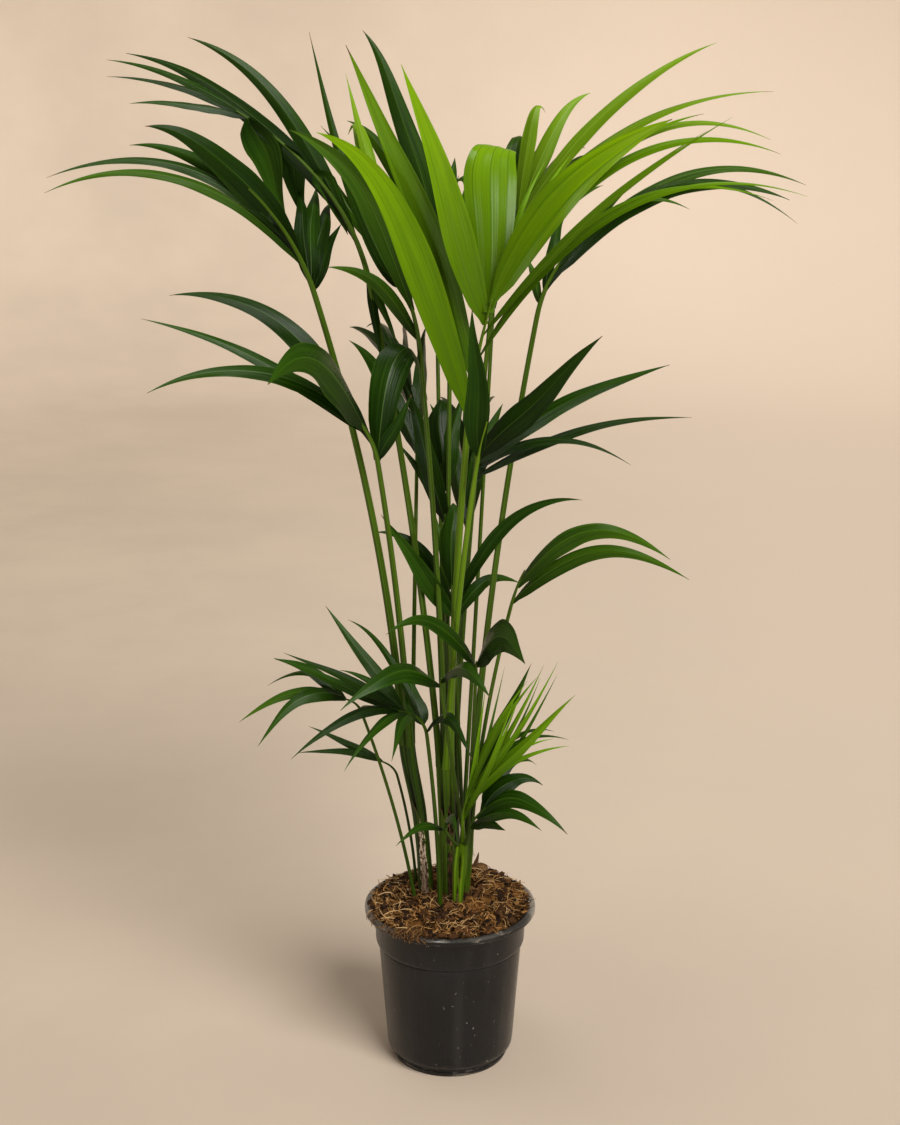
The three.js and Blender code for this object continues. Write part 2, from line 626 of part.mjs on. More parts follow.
function leavesOf(fan) {
  const leaves = [];
  for (let i = 0; i < fan.leaves; i += 1) {
    const t = fan.leaves > 1 ? i / (fan.leaves - 1) : 0;
    leaves.push({
      at: along(fan.at, t),
      heading: along(fan.heading, t),
      rise: along(fan.rise, t),
      length: along(fan.length, t),
      bow: along(fan.bow, t),
      width: along(fan.width, t),
      tilt: along(fan.tilt, t),
    });
  }
  return leaves;
}

function frondSolid(frond, extra = 0) {
  const rib = ribCurve(frond);
  const radii = [frond.girth[1], RIB_TIP_RADIUS];
  let solid = limb(rib, radii, PETIOLE_SIDES, RIB_STEPS, extra);
  for (const leaf of frond.fans.flatMap(leavesOf)) {
    const root = rib.getPoint(THREE.MathUtils.clamp(leaf.at, RIB_FIRST_LEAF, RIB_LAST_LEAF));
    solid = solid.add(leafSolid(root, leaf, frond.face, extra));
  }
  return solid;
}

// ---- Assembly ----

const plant = new THREE.Group();
plant.name = 'kentia_palm';
let taken = null;

function addMesh(name, solid, finish) {
  const mesh = new THREE.Mesh(geometryOf(solid), finish);
  mesh.name = name;
  plant.add(mesh);
}

// A piece gives way to all that was placed before it, and keeps the clearance from them.
function grow(name, solid, grown, finish) {
  const piece = taken ? largestPiece(solid.subtract(taken)) : solid;
  taken = taken ? taken.add(grown) : grown;
  addMesh(name, piece, finish);
}

addMesh('pot', potSolid(), FINISHES.pot);
for (const [name, stem] of Object.entries(STEMS)) {
  grow(`stem_${name}`, stemSolid(stem), stemSolid(stem, CLEARANCE), FINISHES.stem);
}
for (const [name, frond] of Object.entries(FRONDS)) {
  const curve = petioleCurve(frond);
  const solid = limb(curve, frond.girth, PETIOLE_SIDES, PETIOLE_STEPS);
  const grown = limb(curve, frond.girth, PETIOLE_SIDES, PETIOLE_STEPS, CLEARANCE);
  grow(`petiole_${name}`, solid, grown, FINISHES.petiole);
}
addMesh('soil', largestPiece(soilSolid().subtract(taken)), FINISHES.soil);
for (const [name, frond] of Object.entries(FRONDS)) {
  const finish = YOUNG_FRONDS.includes(name) ? FINISHES.young_leaf : FINISHES.leaf;
  grow(`frond_${name}`, frondSolid(frond), frondSolid(frond, BLADE_CLEARANCE), finish);
}

export default plant;
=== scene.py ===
# Looks for a potted kentia palm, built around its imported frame.
# The plant is measured in millimetres here and scaled to metres as each mesh is made. +Z is up, the
# origin is the middle of the pot's flat underside, and +Y is the back of the plant.
# Headings are degrees about +Z from +X; rises are degrees above level.

import math
from collections import namedtuple

import bpy
import numpy as np
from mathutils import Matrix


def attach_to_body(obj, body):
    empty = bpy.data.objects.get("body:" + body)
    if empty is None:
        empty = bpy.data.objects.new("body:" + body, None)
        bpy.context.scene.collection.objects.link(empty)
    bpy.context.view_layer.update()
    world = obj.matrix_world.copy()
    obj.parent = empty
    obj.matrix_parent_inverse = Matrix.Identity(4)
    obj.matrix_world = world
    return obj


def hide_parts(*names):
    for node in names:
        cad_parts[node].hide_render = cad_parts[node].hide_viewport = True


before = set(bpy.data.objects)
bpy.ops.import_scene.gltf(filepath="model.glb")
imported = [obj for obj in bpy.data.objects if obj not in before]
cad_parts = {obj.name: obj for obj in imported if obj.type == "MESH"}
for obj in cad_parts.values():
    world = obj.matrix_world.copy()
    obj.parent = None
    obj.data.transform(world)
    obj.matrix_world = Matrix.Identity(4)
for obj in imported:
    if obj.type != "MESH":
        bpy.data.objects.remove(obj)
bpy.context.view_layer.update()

MM = 0.001

# ---- Sizes: pot and potting mix ----

POT_HEIGHT = 200
RIM_RADIUS = 105
LIP_HEIGHT = 8
LIP_FOOT = POT_HEIGHT - LIP_HEIGHT
COLLAR_RADIUS = 92.5
COLLAR_FOOT_HEIGHT = 152
WALL_TOP_RADIUS = 88
WALL_FOOT_RADIUS = 78
WALL_FOOT_HEIGHT = 17
FOOT_RADIUS = 71
FOOT_HEIGHT = 8
WALL_THICKNESS = 3
FLOOR_THICKNESS = 4
DRAIN_HOLE_RADIUS = 5
DRAIN_HOLE_COUNT = 8
DRAIN_RING_RADIUS = 46
POT_SIDES = 160
SOIL_RADIUS = 97
SOIL_EDGE_HEIGHT = 202
SOIL_CROWN_HEIGHT = 213
SOIL_ROUGHNESS = 2.4
SOIL_BED_BOTTOM = 170
SOIL_RINGS = 60
SOIL_SIDES = 240
MOUND_PLACE = (36, 56)
MOUND_HEIGHT = 10
MOUND_SPREAD = 24
LITTER_REACH = 98
SPILL_STRANDS = 72
SPILL_HEADINGS = (246, 243, 238, 229, 205)
SPIKE_FOOT = (27, 56, 215)
BARK_PLACE = (40, 60, 217)

# ---- Sizes: plant ----

STEM_SUNK_TO = 190
STEM_FOOT_FLARE = 1.15
STEM_HOLDS_UPRIGHT = 0.4
STEM_ROWS = 60
STEM_SIDES = 48
BUNDLE_RADIUS = 6.2
BUNDLE_LIFT = 1.5
COLLAR_ROWS = 30
STALK_SIDES = 14
STALK_ROWS = 60
RIB_ROWS = 24
RIB_TIP_RADIUS = 0.9
RIB_FIRST_LEAF = 0.05
RIB_LAST_LEAF = 0.97
LEAF_ROOT_WIDTH = 0.42
LEAF_TIP_WIDTH = 0.02
LEAF_WIDEST_AT = 0.36
LEAF_TAPER = 1.25
LEAF_BOW_AT = 0.45
LEAF_TWIST = 0.12
BLADE_THICKNESS = 0.5
PLAIN_WIDTH = 60
SPLIT_WIDTH = 0.62
SPLIT_SPREAD = 0.55
BLADE_ROWS = 44
ROW_LENGTH = 5.5

# Places across a blade, from the midrib to its edge, closest together beside the midrib.
HALF_BLADE = (0.06, 0.14, 0.28, 0.46, 0.64, 0.82, 0.95, 1)

# ---- Sizes: stage ----

BACKDROP_RADIUS = 7000
BACKDROP_BEND = 2500
BACKDROP_HEIGHT = 3600
BACKDROP_SIDES = 96

# ---- Stems ----

# Feet and tops are the middles of a stem's ends, and the radii are those at foot and top.
# eases: how much more gently its upper half bends, as a share of the height left to the top.
Stem = namedtuple("Stem", "foot top radii eases", defaults=(0,))
STEMS = {
    "left": Stem((-30, 8, 210), (-50, 14, 400), (9, 7.5), 0.12),
    "centre": Stem((-3, -4, 212), (-6, -6, 380), (9.5, 9)),
    "back": Stem((3, 25, 212), (0, 32, 375), (9.5, 9)),
    "right": Stem((17, 4, 211), (20, -7, 300), (7, 7)),
    "front": Stem((9, -27, 211), (13, -36, 292), (6.5, 6)),
}

# How old sheaths clasp each stem: (heading, height as a share of the stem, half of what it wraps, finish).
# The finishes are the stem's own green, dead brown and pale torn paper.
SHEATHS = {
    "left": [(200, 0.66, 1.3, 0), (335, 0.5, 1, 0), (266, 0.5, 0.52, 2)],
    "centre": [(215, 0.7, 1.3, 0), (335, 0.52, 1.1, 0), (290, 0.74, 0.34, 1), (280, 0.44, 0.9, 0)],
    "back": [(190, 0.74, 1.3, 0), (350, 0.56, 1.2, 0), (75, 0.66, 0.5, 1)],
    "right": [(300, 0.66, 1.3, 0), (200, 0.5, 1, 0)],
    "front": [(222, 0.62, 1.2, 0), (318, 0.5, 1.1, 0), (268, 0.36, 0.12, 1)],
}

# ---- Fronds ----

# start: the stem a petiole leaves, or the point where it leaves the soil. side: its place in the bundle on
# that stem. crook: where the blade begins. crest: where the rib ends. sway: how far the petiole's middle
# stands off the straight line. girth: its radius at foot and crook. face: where the blades look.
# tones: the finishes that the leaflets take in turn. fold: how deep they fold along the midrib, as a share
# of their half width. pleat: how many millimetres lie between the ridges of a pleated one. splits: into how
# many finer leaflets each of the frame's is split.
Frond = namedtuple(
    "Frond",
    "start side crook crest sway girth face tones fold fans pleat splits",
    defaults=(PLAIN_WIDTH, [1]),
)

# A fan is a run of leaflets; each list is read evenly from its first leaflet to its last. at: the place on
# the rib, as a share of it. rise and length: those of the straight line from a leaflet's root to its tip.
# bow: how far the middle arches above that line. tilt: how far the blade looks up.
Fan = namedtuple("Fan", "leaves at heading rise length bow width tilt")
Leaf = namedtuple("Leaf", "at heading rise length bow width tilt")

FRONDS = {
    "left": Frond("left", 165, (-150, -20, 945), (-215, -70, 1065), (15, 6), (5, 3.3), 280,
        "deep dark dark mid deep dark deep deep", 0.34, [
        Fan(4, [0.3, 0.6, 0.45, 0.25], [202, 176, 195, 202], [41, 28, 16, 17], [222, 187, 270, 292],
            [75, 55, 100, 115], [34, 20, 14, 15], [20, 45]),
        Fan(4, [0.12, 0.1, 0.08, 0.05], [103, 90, 80, 69], [49, 46, 42, 41], [128, 138, 128, 103],
            [25, 40, 40, 15], [24, 24, 22, 16], [20])]),
    "upper_left": Frond("centre", 190, (-91, 35, 950), (-236, 15, 1145), (8, 0), (4, 3.4), 262,
        "dark deep dark deep dark dark deep", 0.4, [
        Fan(5, [0.2, 0.35, 0.8, 0.85, 0.95], [185, 189, 191, 191, 197], [51, 37, 25, 19, 7],
            [292, 295, 203, 184, 129], [95, 76, 35, 35, 15], [21, 22, 12, 12, 13], [20, 50]),
        Fan(3, [0.95, 0.6], [45, 64, 20], [-65, -60], [125, 81], [15, 25], [38, 24], [15]),
        Fan(2, [0.05], [317, 324], [-78, -62], [110, 92], [20, 10], [12, 10], [15])]),
    "centre_left": Frond("centre", 100, (-35, 10, 885), (-90, 40, 1010), (5, 0), (4, 2.8), 270,
        "mid mid dark soft mid soft", 0.38, [
        Fan(2, [0.05, 0.3], [197, 202], [39, 55], [136, 244], [50, 95], [18, 27], [20]),
        Fan(4, [0.5, 0.6, 0.8, 0.9], [159, 125, 163, 109], [68, 64, 52, 44], [300, 246, 174, 169],
            [-100, 10, -10, 120], [20, 17, 15, 20], [20])]),
    "bright": Frond("centre", 10, (20, -65, 810), (45, -100, 950), (-4, -6), (4.6, 3.6), 265,
        "young fresh young young young fresh soft fresh fresh fresh fresh", 0.08, [
        Fan(3, [0.03, 0.35, 0.8], [209, 188, 199], [60, 69, 71], [356, 377, 285], [140, 50, 15],
            [37, 32, 34], [15]),
        Fan(1, [0.9], [82], [34], [187], [230], [58], [0]),
        Fan(4, [0.97], [338, 346, 348, 342], [45, 42, 31, 28], [273, 296, 335, 340],
            [72, 88, 165, 152], [40, 12, 12, 13], [25, 40]),
        Fan(3, [0.7, 0.5, 0.95], [323, 330, 58], [39, 28, 46], [380, 414, 222], [45, 160, 30],
            [13, 14, 13], [30])], pleat=19, splits=[1] * 8 + [2] * 3),
    "mid_right": Frond("centre", 280, (25, -82, 735), (40, -112, 820), (-4, -8), (4, 2.9), 265,
        "deep deep dark", 0.3, [
        Fan(5, [0.5, 0.5, 0.4, 0.2, 0.3], [261, 329, 349, 4, 350], [72, 44, 29, 15, 4],
            [177, 205, 237, 249, 171], [0, 5, 30, 40, 65], [28, 31, 20, 12, 12], [20, 40]),
        Fan(1, [0.1], [57], [36], [137], [30], [15], [20])]),
    "back": Frond("back", 216, (0, 90, 895), (-30, 120, 1005), (0, 4), (3.4, 2.6), 268,
        "dark mid", 0.36, [
        Fan(3, [0.3, 0.9, 0.6], [171, 160, 164], [72, 53, 48], [319, 172, 220], [100, 60, 10],
            [28, 22, 18], [15]),
        Fan(3, [0.2, 0.8], [62, 100], [72, 45], [160, 160], [30, 60], [26, 24], [10])]),
    "right_back": Frond("back", 0, (50, 100, 925), (85, 140, 1025), (-4, -4), (3.4, 2.6), 265,
        "soft soft soft soft soft mid dark mid", 0.34, [
        Fan(5, [0.9, 0.9, 0.7, 0.8, 0.8], [38, 28, 2, 8, 355], [71, 56, 43, 46, 28],
            [132, 178, 326, 250, 338], [110, 65, 80, 45, 90], [18, 21, 18, 14, 15], [20, 40]),
        Fan(3, [0.1, 0.5, 0.8], [132, 124, 83], [60, 68, 42], [140, 117, 125], [110, 20, 120],
            [24, 18, 28], [10])]),
    "back_mid": Frond("back", 288, (-5, 50, 640), (-10, 90, 725), (0, 0), (2.8, 2.2), 270,
        "deep dark", 0.34, [
        Fan(4, [0.3, 0.5, 0.8, 0.7], [170, 161, 95, 60], [74, 52, 58, 67], [172, 99, 110, 125],
            [15, 0, 60, 20], [26, 12, 34, 22], [15])]),
    "rear_high": Frond("back", 144, (-15, 150, 850), (-20, 205, 950), (0, -12), (3, 2.4), 90,
        "dark mid deep", 0.36, [
        Fan(6, [0.1, 0.95, 0.1], [130, 98, 76], [60, 25, 62], [240, 220, 230], [60, 90, 60], [24],
            [30, 50, 30])]),
    "rear_low": Frond("back", 72, (20, 105, 640), (25, 145, 715), (0, -10), (2.6, 2.2), 90,
        "dark deep", 0.36, [
        Fan(5, [0.1, 0.95, 0.1], [118, 90, 62], [55, 15, 55], [170, 190, 170], [50, 80, 50], [22],
            [30, 50, 30])]),
    "rear_right": Frond((12, 44, 200), 0, (52, 160, 900), (80, 212, 985), (0, -12), (2.8, 2.2), 60,
        "dark mid", 0.36, [
        Fan(6, [0.1, 0.95, 0.2], [76, 50, 25], [60, 28, 42], [230, 220, 200], [60, 90, 60], [24],
            [30, 50, 30])]),
    "rear_left": Frond("left", 45, (-40, 95, 735), (-52, 142, 808), (0, -10), (2.8, 2.2), 110,
        "dark deep", 0.36, [
        Fan(5, [0.1, 0.95, 0.1], [138, 108, 85], [48, 18, 50], [170, 200, 180], [50, 80, 50], [24],
            [30, 50, 30])]),
    "mid_left": Frond("left", 285, (-80, -70, 765), (-125, -110, 845), (4, 6), (4.2, 3), 275,
        "deep dark dark dark dark deep", 0.2, [
        Fan(3, [0.3, 0.4, 0.4], [183, 191, 201], [37, 29, 14], [269, 275, 250], [110, 40, 95],
            [26, 17, 20], [20, 40]),
        Fan(1, [0.5], [242], [22], [200], [92], [50], [35]),
        Fan(2, [0.05], [62, 16], [23, 61], [127, 82], [188, 0], [40, 16], [10])]),
    "right": Frond("right", 60, (100, 40, 915), (192, 60, 1030), (-10, -4), (4.2, 3), 268,
        "mid dark dark", 0.38, [
        Fan(5, [0.3, 0.3, 0.2, 0.4, 0.5], [3, 355, 351, 346, 8], [20, 19, 16, 25, 45],
            [311, 283, 293, 166, 124], [125, 118, 165, 80, 25], [17, 26, 13, 13, 17], [45, 55]),
        Fan(2, [0.2, 0.1], [67, 107], [49, 46], [110, 73], [40, 10], [14, 11], [10])]),
    "low_right": Frond("right", 345, (70, -40, 590), (85, -60, 640), (-6, -4), (2.6, 2.1), 268,
        "mid mid", 0.34, [
        Fan(2, [0.5, 0.1], [337, 330], [16, 15], [187, 225], [95, 90], [24, 20], [30])]),
    "pair_right": Frond("right", 285, (30, -60, 515), (30, -72, 535), (0, -4), (2.4, 2), 268,
        "dark dark", 0.12, [
        Fan(2, [0.4, 0.7], [220, 296], [27, 17], [147, 122], [68, 57], [19, 46], [35])]),
    "pair_left": Frond("right", 225, (-10, -90, 505), (-10, -102, 525), (0, -8), (2.4, 2), 268,
        "dark dark", 0.3, [
        Fan(2, [0.4, 0.7], [218, 300], [0, 7], [138, 109], [55, 45], [27, 22], [40])]),
    "low_bright": Frond("front", 60, (15, -44, 322), (30, -60, 385), (0, 0), (2.6, 2.2), 262,
        "fresh mid fresh fresh dark fresh mid fresh dark fresh", 0.45, [
        Fan(5, [0.1, 0.3, 0.2, 0.6, 0.9], [309, 349, 313, 326, 0], [77, 77, 63, 62, 66],
            [184, 192, 210, 199, 164], [-45, -35, -25, 35, 5], [9, 10, 11, 12, 16], [20]),
        Fan(5, [0.8, 0.6, 0.5, 0.7, 0.4], [337, 353, 336, 349, 357], [60, 59, 49, 37, 37],
            [206, 193, 205, 144, 150], [-25, -40, 5, 60, 40], [13, 12, 16, 12, 12], [20])],
        splits=[1, 2, 2, 2, 1, 2, 2, 1, 2, 2]),
    "low_dark": Frond("front", 330, (24, -50, 320), (42, -62, 350), (0, 0), (2.2, 1.9), 285,
        "dark deep dark", 0.3, [
        Fan(5, [0.9, 0.8, 0.5, 0.2, 0.1], [43, 0, 333, 312, 296], [20, 25, 1, 14, 18],
            [95, 80, 118, 120, 92], [70, 50, 65, 35, 10], [25, 23, 24, 19, 17], [40])]),
    "seedling": Frond("front", 230, (-4, -58, 318), (-8, -68, 326), (0, -3), (1.9, 1.6), 268,
        "dark", 0.28, [
        Fan(2, [0.4, 0.7], [225, 284], [3, 7], [80, 68], [25, 50], [11, 14], [40])]),
    "low_left": Frond((-12, -32, 203), 0, (-27, -48, 435), (-60, -72, 475), (3, -3), (2.8, 2.2), 272,
        "dark deep dark", 0.36, [
        Fan(4, [0.9, 0.8, 1, 0.9], [163, 191, 161, 174], [52, 30, 17, 33], [152, 164, 164, 88],
            [5, 10, 5, 25], [16, 12, 13, 10], [25]),
        Fan(4, [1, 0.8, 0.6, 0.1], [214, 240, 258, 303], [-11, -11, -6, -2], [146, 137, 116, 97],
            [40, 35, 40, 65], [14, 13, 15, 17], [45]),
        Fan(2, [0.3, 0.4], [133, 141], [64, 42], [64, 153], [0, 50], [24, 9], [15])]),
    "side_left": Frond((-42, -10, 203), 0, (-105, -20, 455), (-125, -30, 475), (6, 0), (2.2, 1.8), 268,
        "dark dark mid", 0.36, [
        Fan(4, [1, 0.9, 1, 0.9], [173, 159, 177, 212], [29, 2, -14, -17], [96, 104, 130, 122],
            [20, 50, 40, 60], [15, 9, 15, 19], [35]),
        Fan(1, [0.1], [71], [-13], [60], [0], [8], [20])]),
    "side_left_low": Frond((-42, 34, 201), 0, (-65, 40, 350), (-90, 42, 370), (4, 0), (1.9, 1.6), 268,
        "dark", 0.36, [
        Fan(2, [0.8, 0.9], [174, 191], [25, 10], [102, 104], [5, 15], [10, 9], [25])]),
    "low_back": Frond((17, 17, 203), 0, (4, 16, 545), (2, 30, 605), (2, 0), (2.4, 2), 268,
        "dark deep mid", 0.34, [
        Fan(3, [0.3, 0.5, 0.8], [209, 186, 123], [55, 45, 66], [164, 129, 100], [0, 60, 0],
            [23, 15, 15], [15]),
        Fan(4, [0.8, 0.4, 0.5, 0.2], [87, 339, 70, 24], [65, 43, 39, 22], [105, 216, 69, 96],
            [60, 90, 0, 50], [26, 16, 17, 17], [20])]),
}
YOUNG_FRONDS = ["bright", "low_bright"]
# Stalks that take the bright green: partly the young fronds' own yellower green, partly painted light for
# mid_right's stalk, which stands in the light.
YOUNG_AND_LIT_STALKS = ["bright", "low_bright", "mid_right"]

# ---- Colours ----

# Leaf colours as (deep streak, light streak, fold line), for the side that looks up and the one that
# looks down.
LEAF_COLOURS = {
    "leaf": {
        "deep": ((0.003, 0.0125, 0.0003), (0.011, 0.034, 0.001), (0.042, 0.092, 0.008)),
        "dark": ((0.0055, 0.022, 0.0005), (0.02, 0.058, 0.0018), (0.056, 0.12, 0.01)),
        "mid": ((0.013, 0.042, 0.001), (0.044, 0.106, 0.0035), (0.092, 0.175, 0.015)),
        "soft": ((0.09, 0.19, 0.0025), (0.16, 0.285, 0.01), (0.23, 0.35, 0.036)),
        "fresh": ((0.056, 0.143, 0.0012), (0.13, 0.26, 0.0025), (0.18, 0.32, 0.008)),
        "young": ((0.096, 0.22, 0.001), (0.198, 0.36, 0.0025), (0.05, 0.125, 0.0008)),
    },
    "underside": {
        "deep": ((0.007, 0.026, 0.001), (0.018, 0.054, 0.003), (0.05, 0.105, 0.01)),
        "dark": ((0.011, 0.039, 0.0015), (0.029, 0.08, 0.0045), (0.068, 0.136, 0.014)),
        "mid": ((0.025, 0.069, 0.003), (0.056, 0.125, 0.008), (0.105, 0.19, 0.022)),
        "soft": ((0.095, 0.195, 0.006), (0.16, 0.285, 0.016), (0.225, 0.34, 0.045)),
        "fresh": ((0.06, 0.148, 0.0018), (0.126, 0.255, 0.005), (0.17, 0.3, 0.014)),
        "young": ((0.098, 0.222, 0.0012), (0.185, 0.345, 0.003), (0.065, 0.155, 0.0012)),
    },
}

# How each side looks: its roughness, its gloss, how far its veins stand out and how strong its fold lines
# are. Young leaves have fainter veins and stay shaded further up, and the youngest have wide pleat lines.
LEAF_SIDES = {"leaf": (0.27, 0.13, 0.3, 0.65), "underside": (0.42, 0.07, 0.4, 0.5)}
YOUNG_TONES = ("young", "fresh")
YOUNG_VEINING = 0.6
YOUNG_SHADE_REACH = 0.78
SHADE_REACH = 0.45
PLEAT_LINE_WIDTH = 0.13
RIB_LINE_WIDTH = 0.042

# Sheath colours as (deep, light), which stem has which, and the dry ones as (dark, light, pale).
SHEATH_COLOURS = {
    "dark": ((0.007, 0.021, 0.001), (0.03, 0.064, 0.003)),
    "green": ((0.018, 0.044, 0.002), (0.066, 0.125, 0.005)),
    "bright": ((0.045, 0.1, 0.002), (0.125, 0.22, 0.006)),
}
STEM_GREENS = {"left": "dark", "centre": "green", "back": "dark", "right": "green", "front": "bright"}
DEAD_BROWN = ((0.022, 0.012, 0.006), (0.09, 0.05, 0.022), (0.2, 0.12, 0.06))
TORN_PAPER = ((0.02, 0.01, 0.004), (0.13, 0.07, 0.034), (0.56, 0.45, 0.33))
DRY_HUSK = ((0.03, 0.014, 0.005), (0.15, 0.07, 0.024), (0.28, 0.15, 0.06))

# Stalk colours as (deep, light) streaks at the foot, and the same at the tip.
STALK_COLOURS = {
    "green": ((0.008, 0.024, 0.001), (0.036, 0.072, 0.004), (0.026, 0.06, 0.003), (0.076, 0.138, 0.008)),
    "bright": ((0.04, 0.092, 0.002), (0.1, 0.185, 0.006), (0.062, 0.13, 0.003), (0.13, 0.228, 0.01)),
}

# What lies on the mix: name, kind of piece, dark and light shade, pieces a square metre, least and greatest
# size, tilt, lift, scale of the patches it gathers in, and seed.
LITTER = (
    ("straws_pale", "straw", (0.36, 0.2, 0.07), (0.68, 0.46, 0.22), 5200, 0.5, 1.5, 0.3, 3, 50, 2),
    ("fibres_pale", "fibre", (0.38, 0.21, 0.075), (0.64, 0.42, 0.19), 5000, 0.4, 1.1, 0.6, 2, 60, 3),
    ("fibres_tan", "fibre", (0.23, 0.105, 0.028), (0.47, 0.25, 0.08), 15000, 0.4, 1.6, 0.55, 1.4, 45, 4),
    ("fibres_brown", "fibre", (0.026, 0.011, 0.003), (0.15, 0.066, 0.018), 22000, 0.4, 1.6, 0.5, 0.6, 30, 5),
    ("shreds_brown", "shred", (0.05, 0.02, 0.005), (0.36, 0.18, 0.055), 13000, 0.35, 1.6, 0.6, 1, 40, 7),
    ("chips_bark", "chip", (0.016, 0.007, 0.003), (0.12, 0.052, 0.017), 8000, 0.5, 2, 0.7, 0.8, 30, 11),
    ("crumbs_dark", "chip", (0.004, 0.002, 0.001), (0.026, 0.012, 0.004), 15000, 0.35, 1, 1, 0.8, 30, 13),
    ("grains_white", "grain", (0.48, 0.43, 0.34), (0.76, 0.7, 0.6), 900, 0.08, 0.2, 1, 1.4, 30, 17),
)
SPILL_SHADES = ((0.018, 0.008, 0.003), (0.25, 0.125, 0.042))


# ---- Helpers: measures ----


def aim(heading, rise):
    turn = math.radians(heading)
    climb = math.radians(rise)
    flat = math.cos(climb)
    return np.array([flat * math.cos(turn), flat * math.sin(turn), math.sin(climb)])


def along(values, t):
    """Reads a list evenly: t = 0 gives its first value, t = 1 its last."""
    return float(np.interp(t, np.linspace(0, 1, len(values)), values))


def blend(low, high, share):
    return low + (high - low) * share


def smooth(low, high, value):
    share = np.clip((value - low) / (high - low), 0, 1)
    return share * share * (3 - 2 * share)


def unit(vectors):
    return vectors / np.linalg.norm(vectors, axis=-1, keepdims=True)


def distances(points):
    """How far along a line of points each of them lies."""
    return np.concatenate([[0], np.cumsum(np.linalg.norm(np.diff(points, axis=0), axis=1))])


def bezier(start, middle, end, shares):
    """Points and directions of the three-point curve that the limbs and the leaflets follow."""
    start, middle, end = (np.array(p, float) for p in (start, middle, end))
    s = np.asarray(shares, float)[:, None]
    points = (1 - s) ** 2 * start + 2 * s * (1 - s) * middle + s * s * end
    return points, unit(2 * (1 - s) * (middle - start) + 2 * s * (end - middle))


def circle(sides):
    return np.linspace(0, 2 * math.pi, sides, endpoint=False)


def around(middles, reach, turns):
    """Points that stand off their middles by a level reach, each in the direction of its turn."""
    return middles + np.stack([reach * np.cos(turns), reach * np.sin(turns), 0 * reach * turns], axis=-1)


def turned(section, sides):
    """One ring of points for each (radius, height) of a turned form's section."""
    return np.array([around((0, 0, height), radius, circle(sides)) for radius, height in section], float)


def step_off(radius, height, *steps):
    """Points of a section that lie a small step outward and upward from one of its corners."""
    return [(radius + outward, height + upward) for outward, upward in steps]


# ---- Helpers: meshes ----


def link(thing):
    bpy.context.scene.collection.objects.link(thing)


def readings(rings, *measures):
    """The six readings of every point, each from a measure that spreads over the rings' rows or columns."""
    measures += (0,) * (6 - len(measures))
    return np.stack([np.broadcast_to(measure, rings.shape[:2]) for measure in measures], axis=-1)


class Draft:
    """Gathers one mesh: its points in millimetres, its faces, their finishes, and the six readings that the
    materials take at every point. guide: distance along in metres, place across, and which leaflet or stalk
    it is. growth: share of the length, distance from a fold line, and how dry the leaflet is."""

    def __init__(self):
        self.points = []
        self.readings = []
        self.faces = []
        self.finishes = []
        self.count = 0

    def add_rings(self, rings, read=None, finish=0, outward=True, last_cap=True):
        """Closed rings of points, joined one to the next and capped. finish: one, or one a column."""
        rows, sides, _ = rings.shape
        grid = (self.count + np.arange(rows * sides).reshape(rows, sides)).tolist()
        turn = 1 if outward else -1
        for low, high in zip(grid, grid[1:]):
            for j in range(sides):
                k = (j + 1) % sides
                self.faces.append((low[j], *(low[k], high[k], high[j])[::turn]))
        self.faces += [grid[0][::-turn], grid[-1][::turn]][: 1 + last_cap]
        columns = np.broadcast_to(finish, sides).tolist()
        self.finishes += columns * (rows - 1) + columns[:1] * (1 + last_cap)
        self.points.append(rings.reshape(-1, 3))
        self.readings.append((readings(rings) if read is None else read).reshape(-1, 6))
        self.count += rows * sides

    def build(self, name, finishes, sharp_angle=50):
        mesh = bpy.data.meshes.new(name)
        mesh.from_pydata((np.concatenate(self.points) * MM).tolist(), [], self.faces)
        read = np.concatenate(self.readings).astype(np.float32)
        for name_of_three, three in (("guide", read[:, :3]), ("growth", read[:, 3:])):
            kept = mesh.attributes.new(name_of_three, "FLOAT_VECTOR", "POINT")
            kept.data.foreach_set("vector", three.ravel())
        mesh.polygons.foreach_set("material_index", self.finishes)
        for finish in finishes:
            mesh.materials.append(finish)
        mesh.shade_smooth()
        mesh.set_sharp_from_angle(angle=math.radians(sharp_angle))
        mesh.validate()
        made = bpy.data.objects.new(name, mesh)
        link(made)
        return made


def tube(draft, points, radii, sides=4, across=None, groove=1.0, number=0):
    """A thin strand through the points, closed at both ends. across: the direction its sides count from."""
    points = np.asarray(points, float)
    tangents = unit(np.gradient(points, axis=0))
    if across is None:
        helper = (0, 0, 1) if abs(tangents[:, 2]).mean() < 0.8 else (1, 0, 0)
        across = unit(np.cross(helper, tangents))
    else:
        across = unit(across - (tangents @ across)[:, None] * tangents)
    outward = np.cross(across, tangents)
    turns = circle(sides)
    reach = np.broadcast_to(radii, len(points))[:, None] * groove
    around_it = across[:, None] * np.cos(turns)[:, None] + outward[:, None] * np.sin(turns)[:, None]
    rings = points[:, None] + reach[..., None] * around_it
    share = np.linspace(0, 1, len(points))[:, None]
    read = readings(rings, distances(points)[:, None] * MM, turns / math.pi - 1, number, share)
    draft.add_rings(rings, read, outward=False)


def finished(piece):
    """Applies a piece's modifiers by turning what they give into its own plain mesh."""
    view = bpy.context.evaluated_depsgraph_get()
    mesh = bpy.data.meshes.new_from_object(piece.evaluated_get(view))
    piece.modifiers.clear()
    piece.data = mesh


def attach(piece, slot, *nodes):
    """The piece rides on the plant's one body and stands for the frame's nodes. slot: not used."""
    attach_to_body(piece, "root")
    if nodes:
        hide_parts(*nodes)


# ---- Helpers: finishes ----


def plug(tree, socket, value):
    if isinstance(value, bpy.types.NodeSocket):
        tree.links.new(value, socket)
    else:
        socket.default_value = value


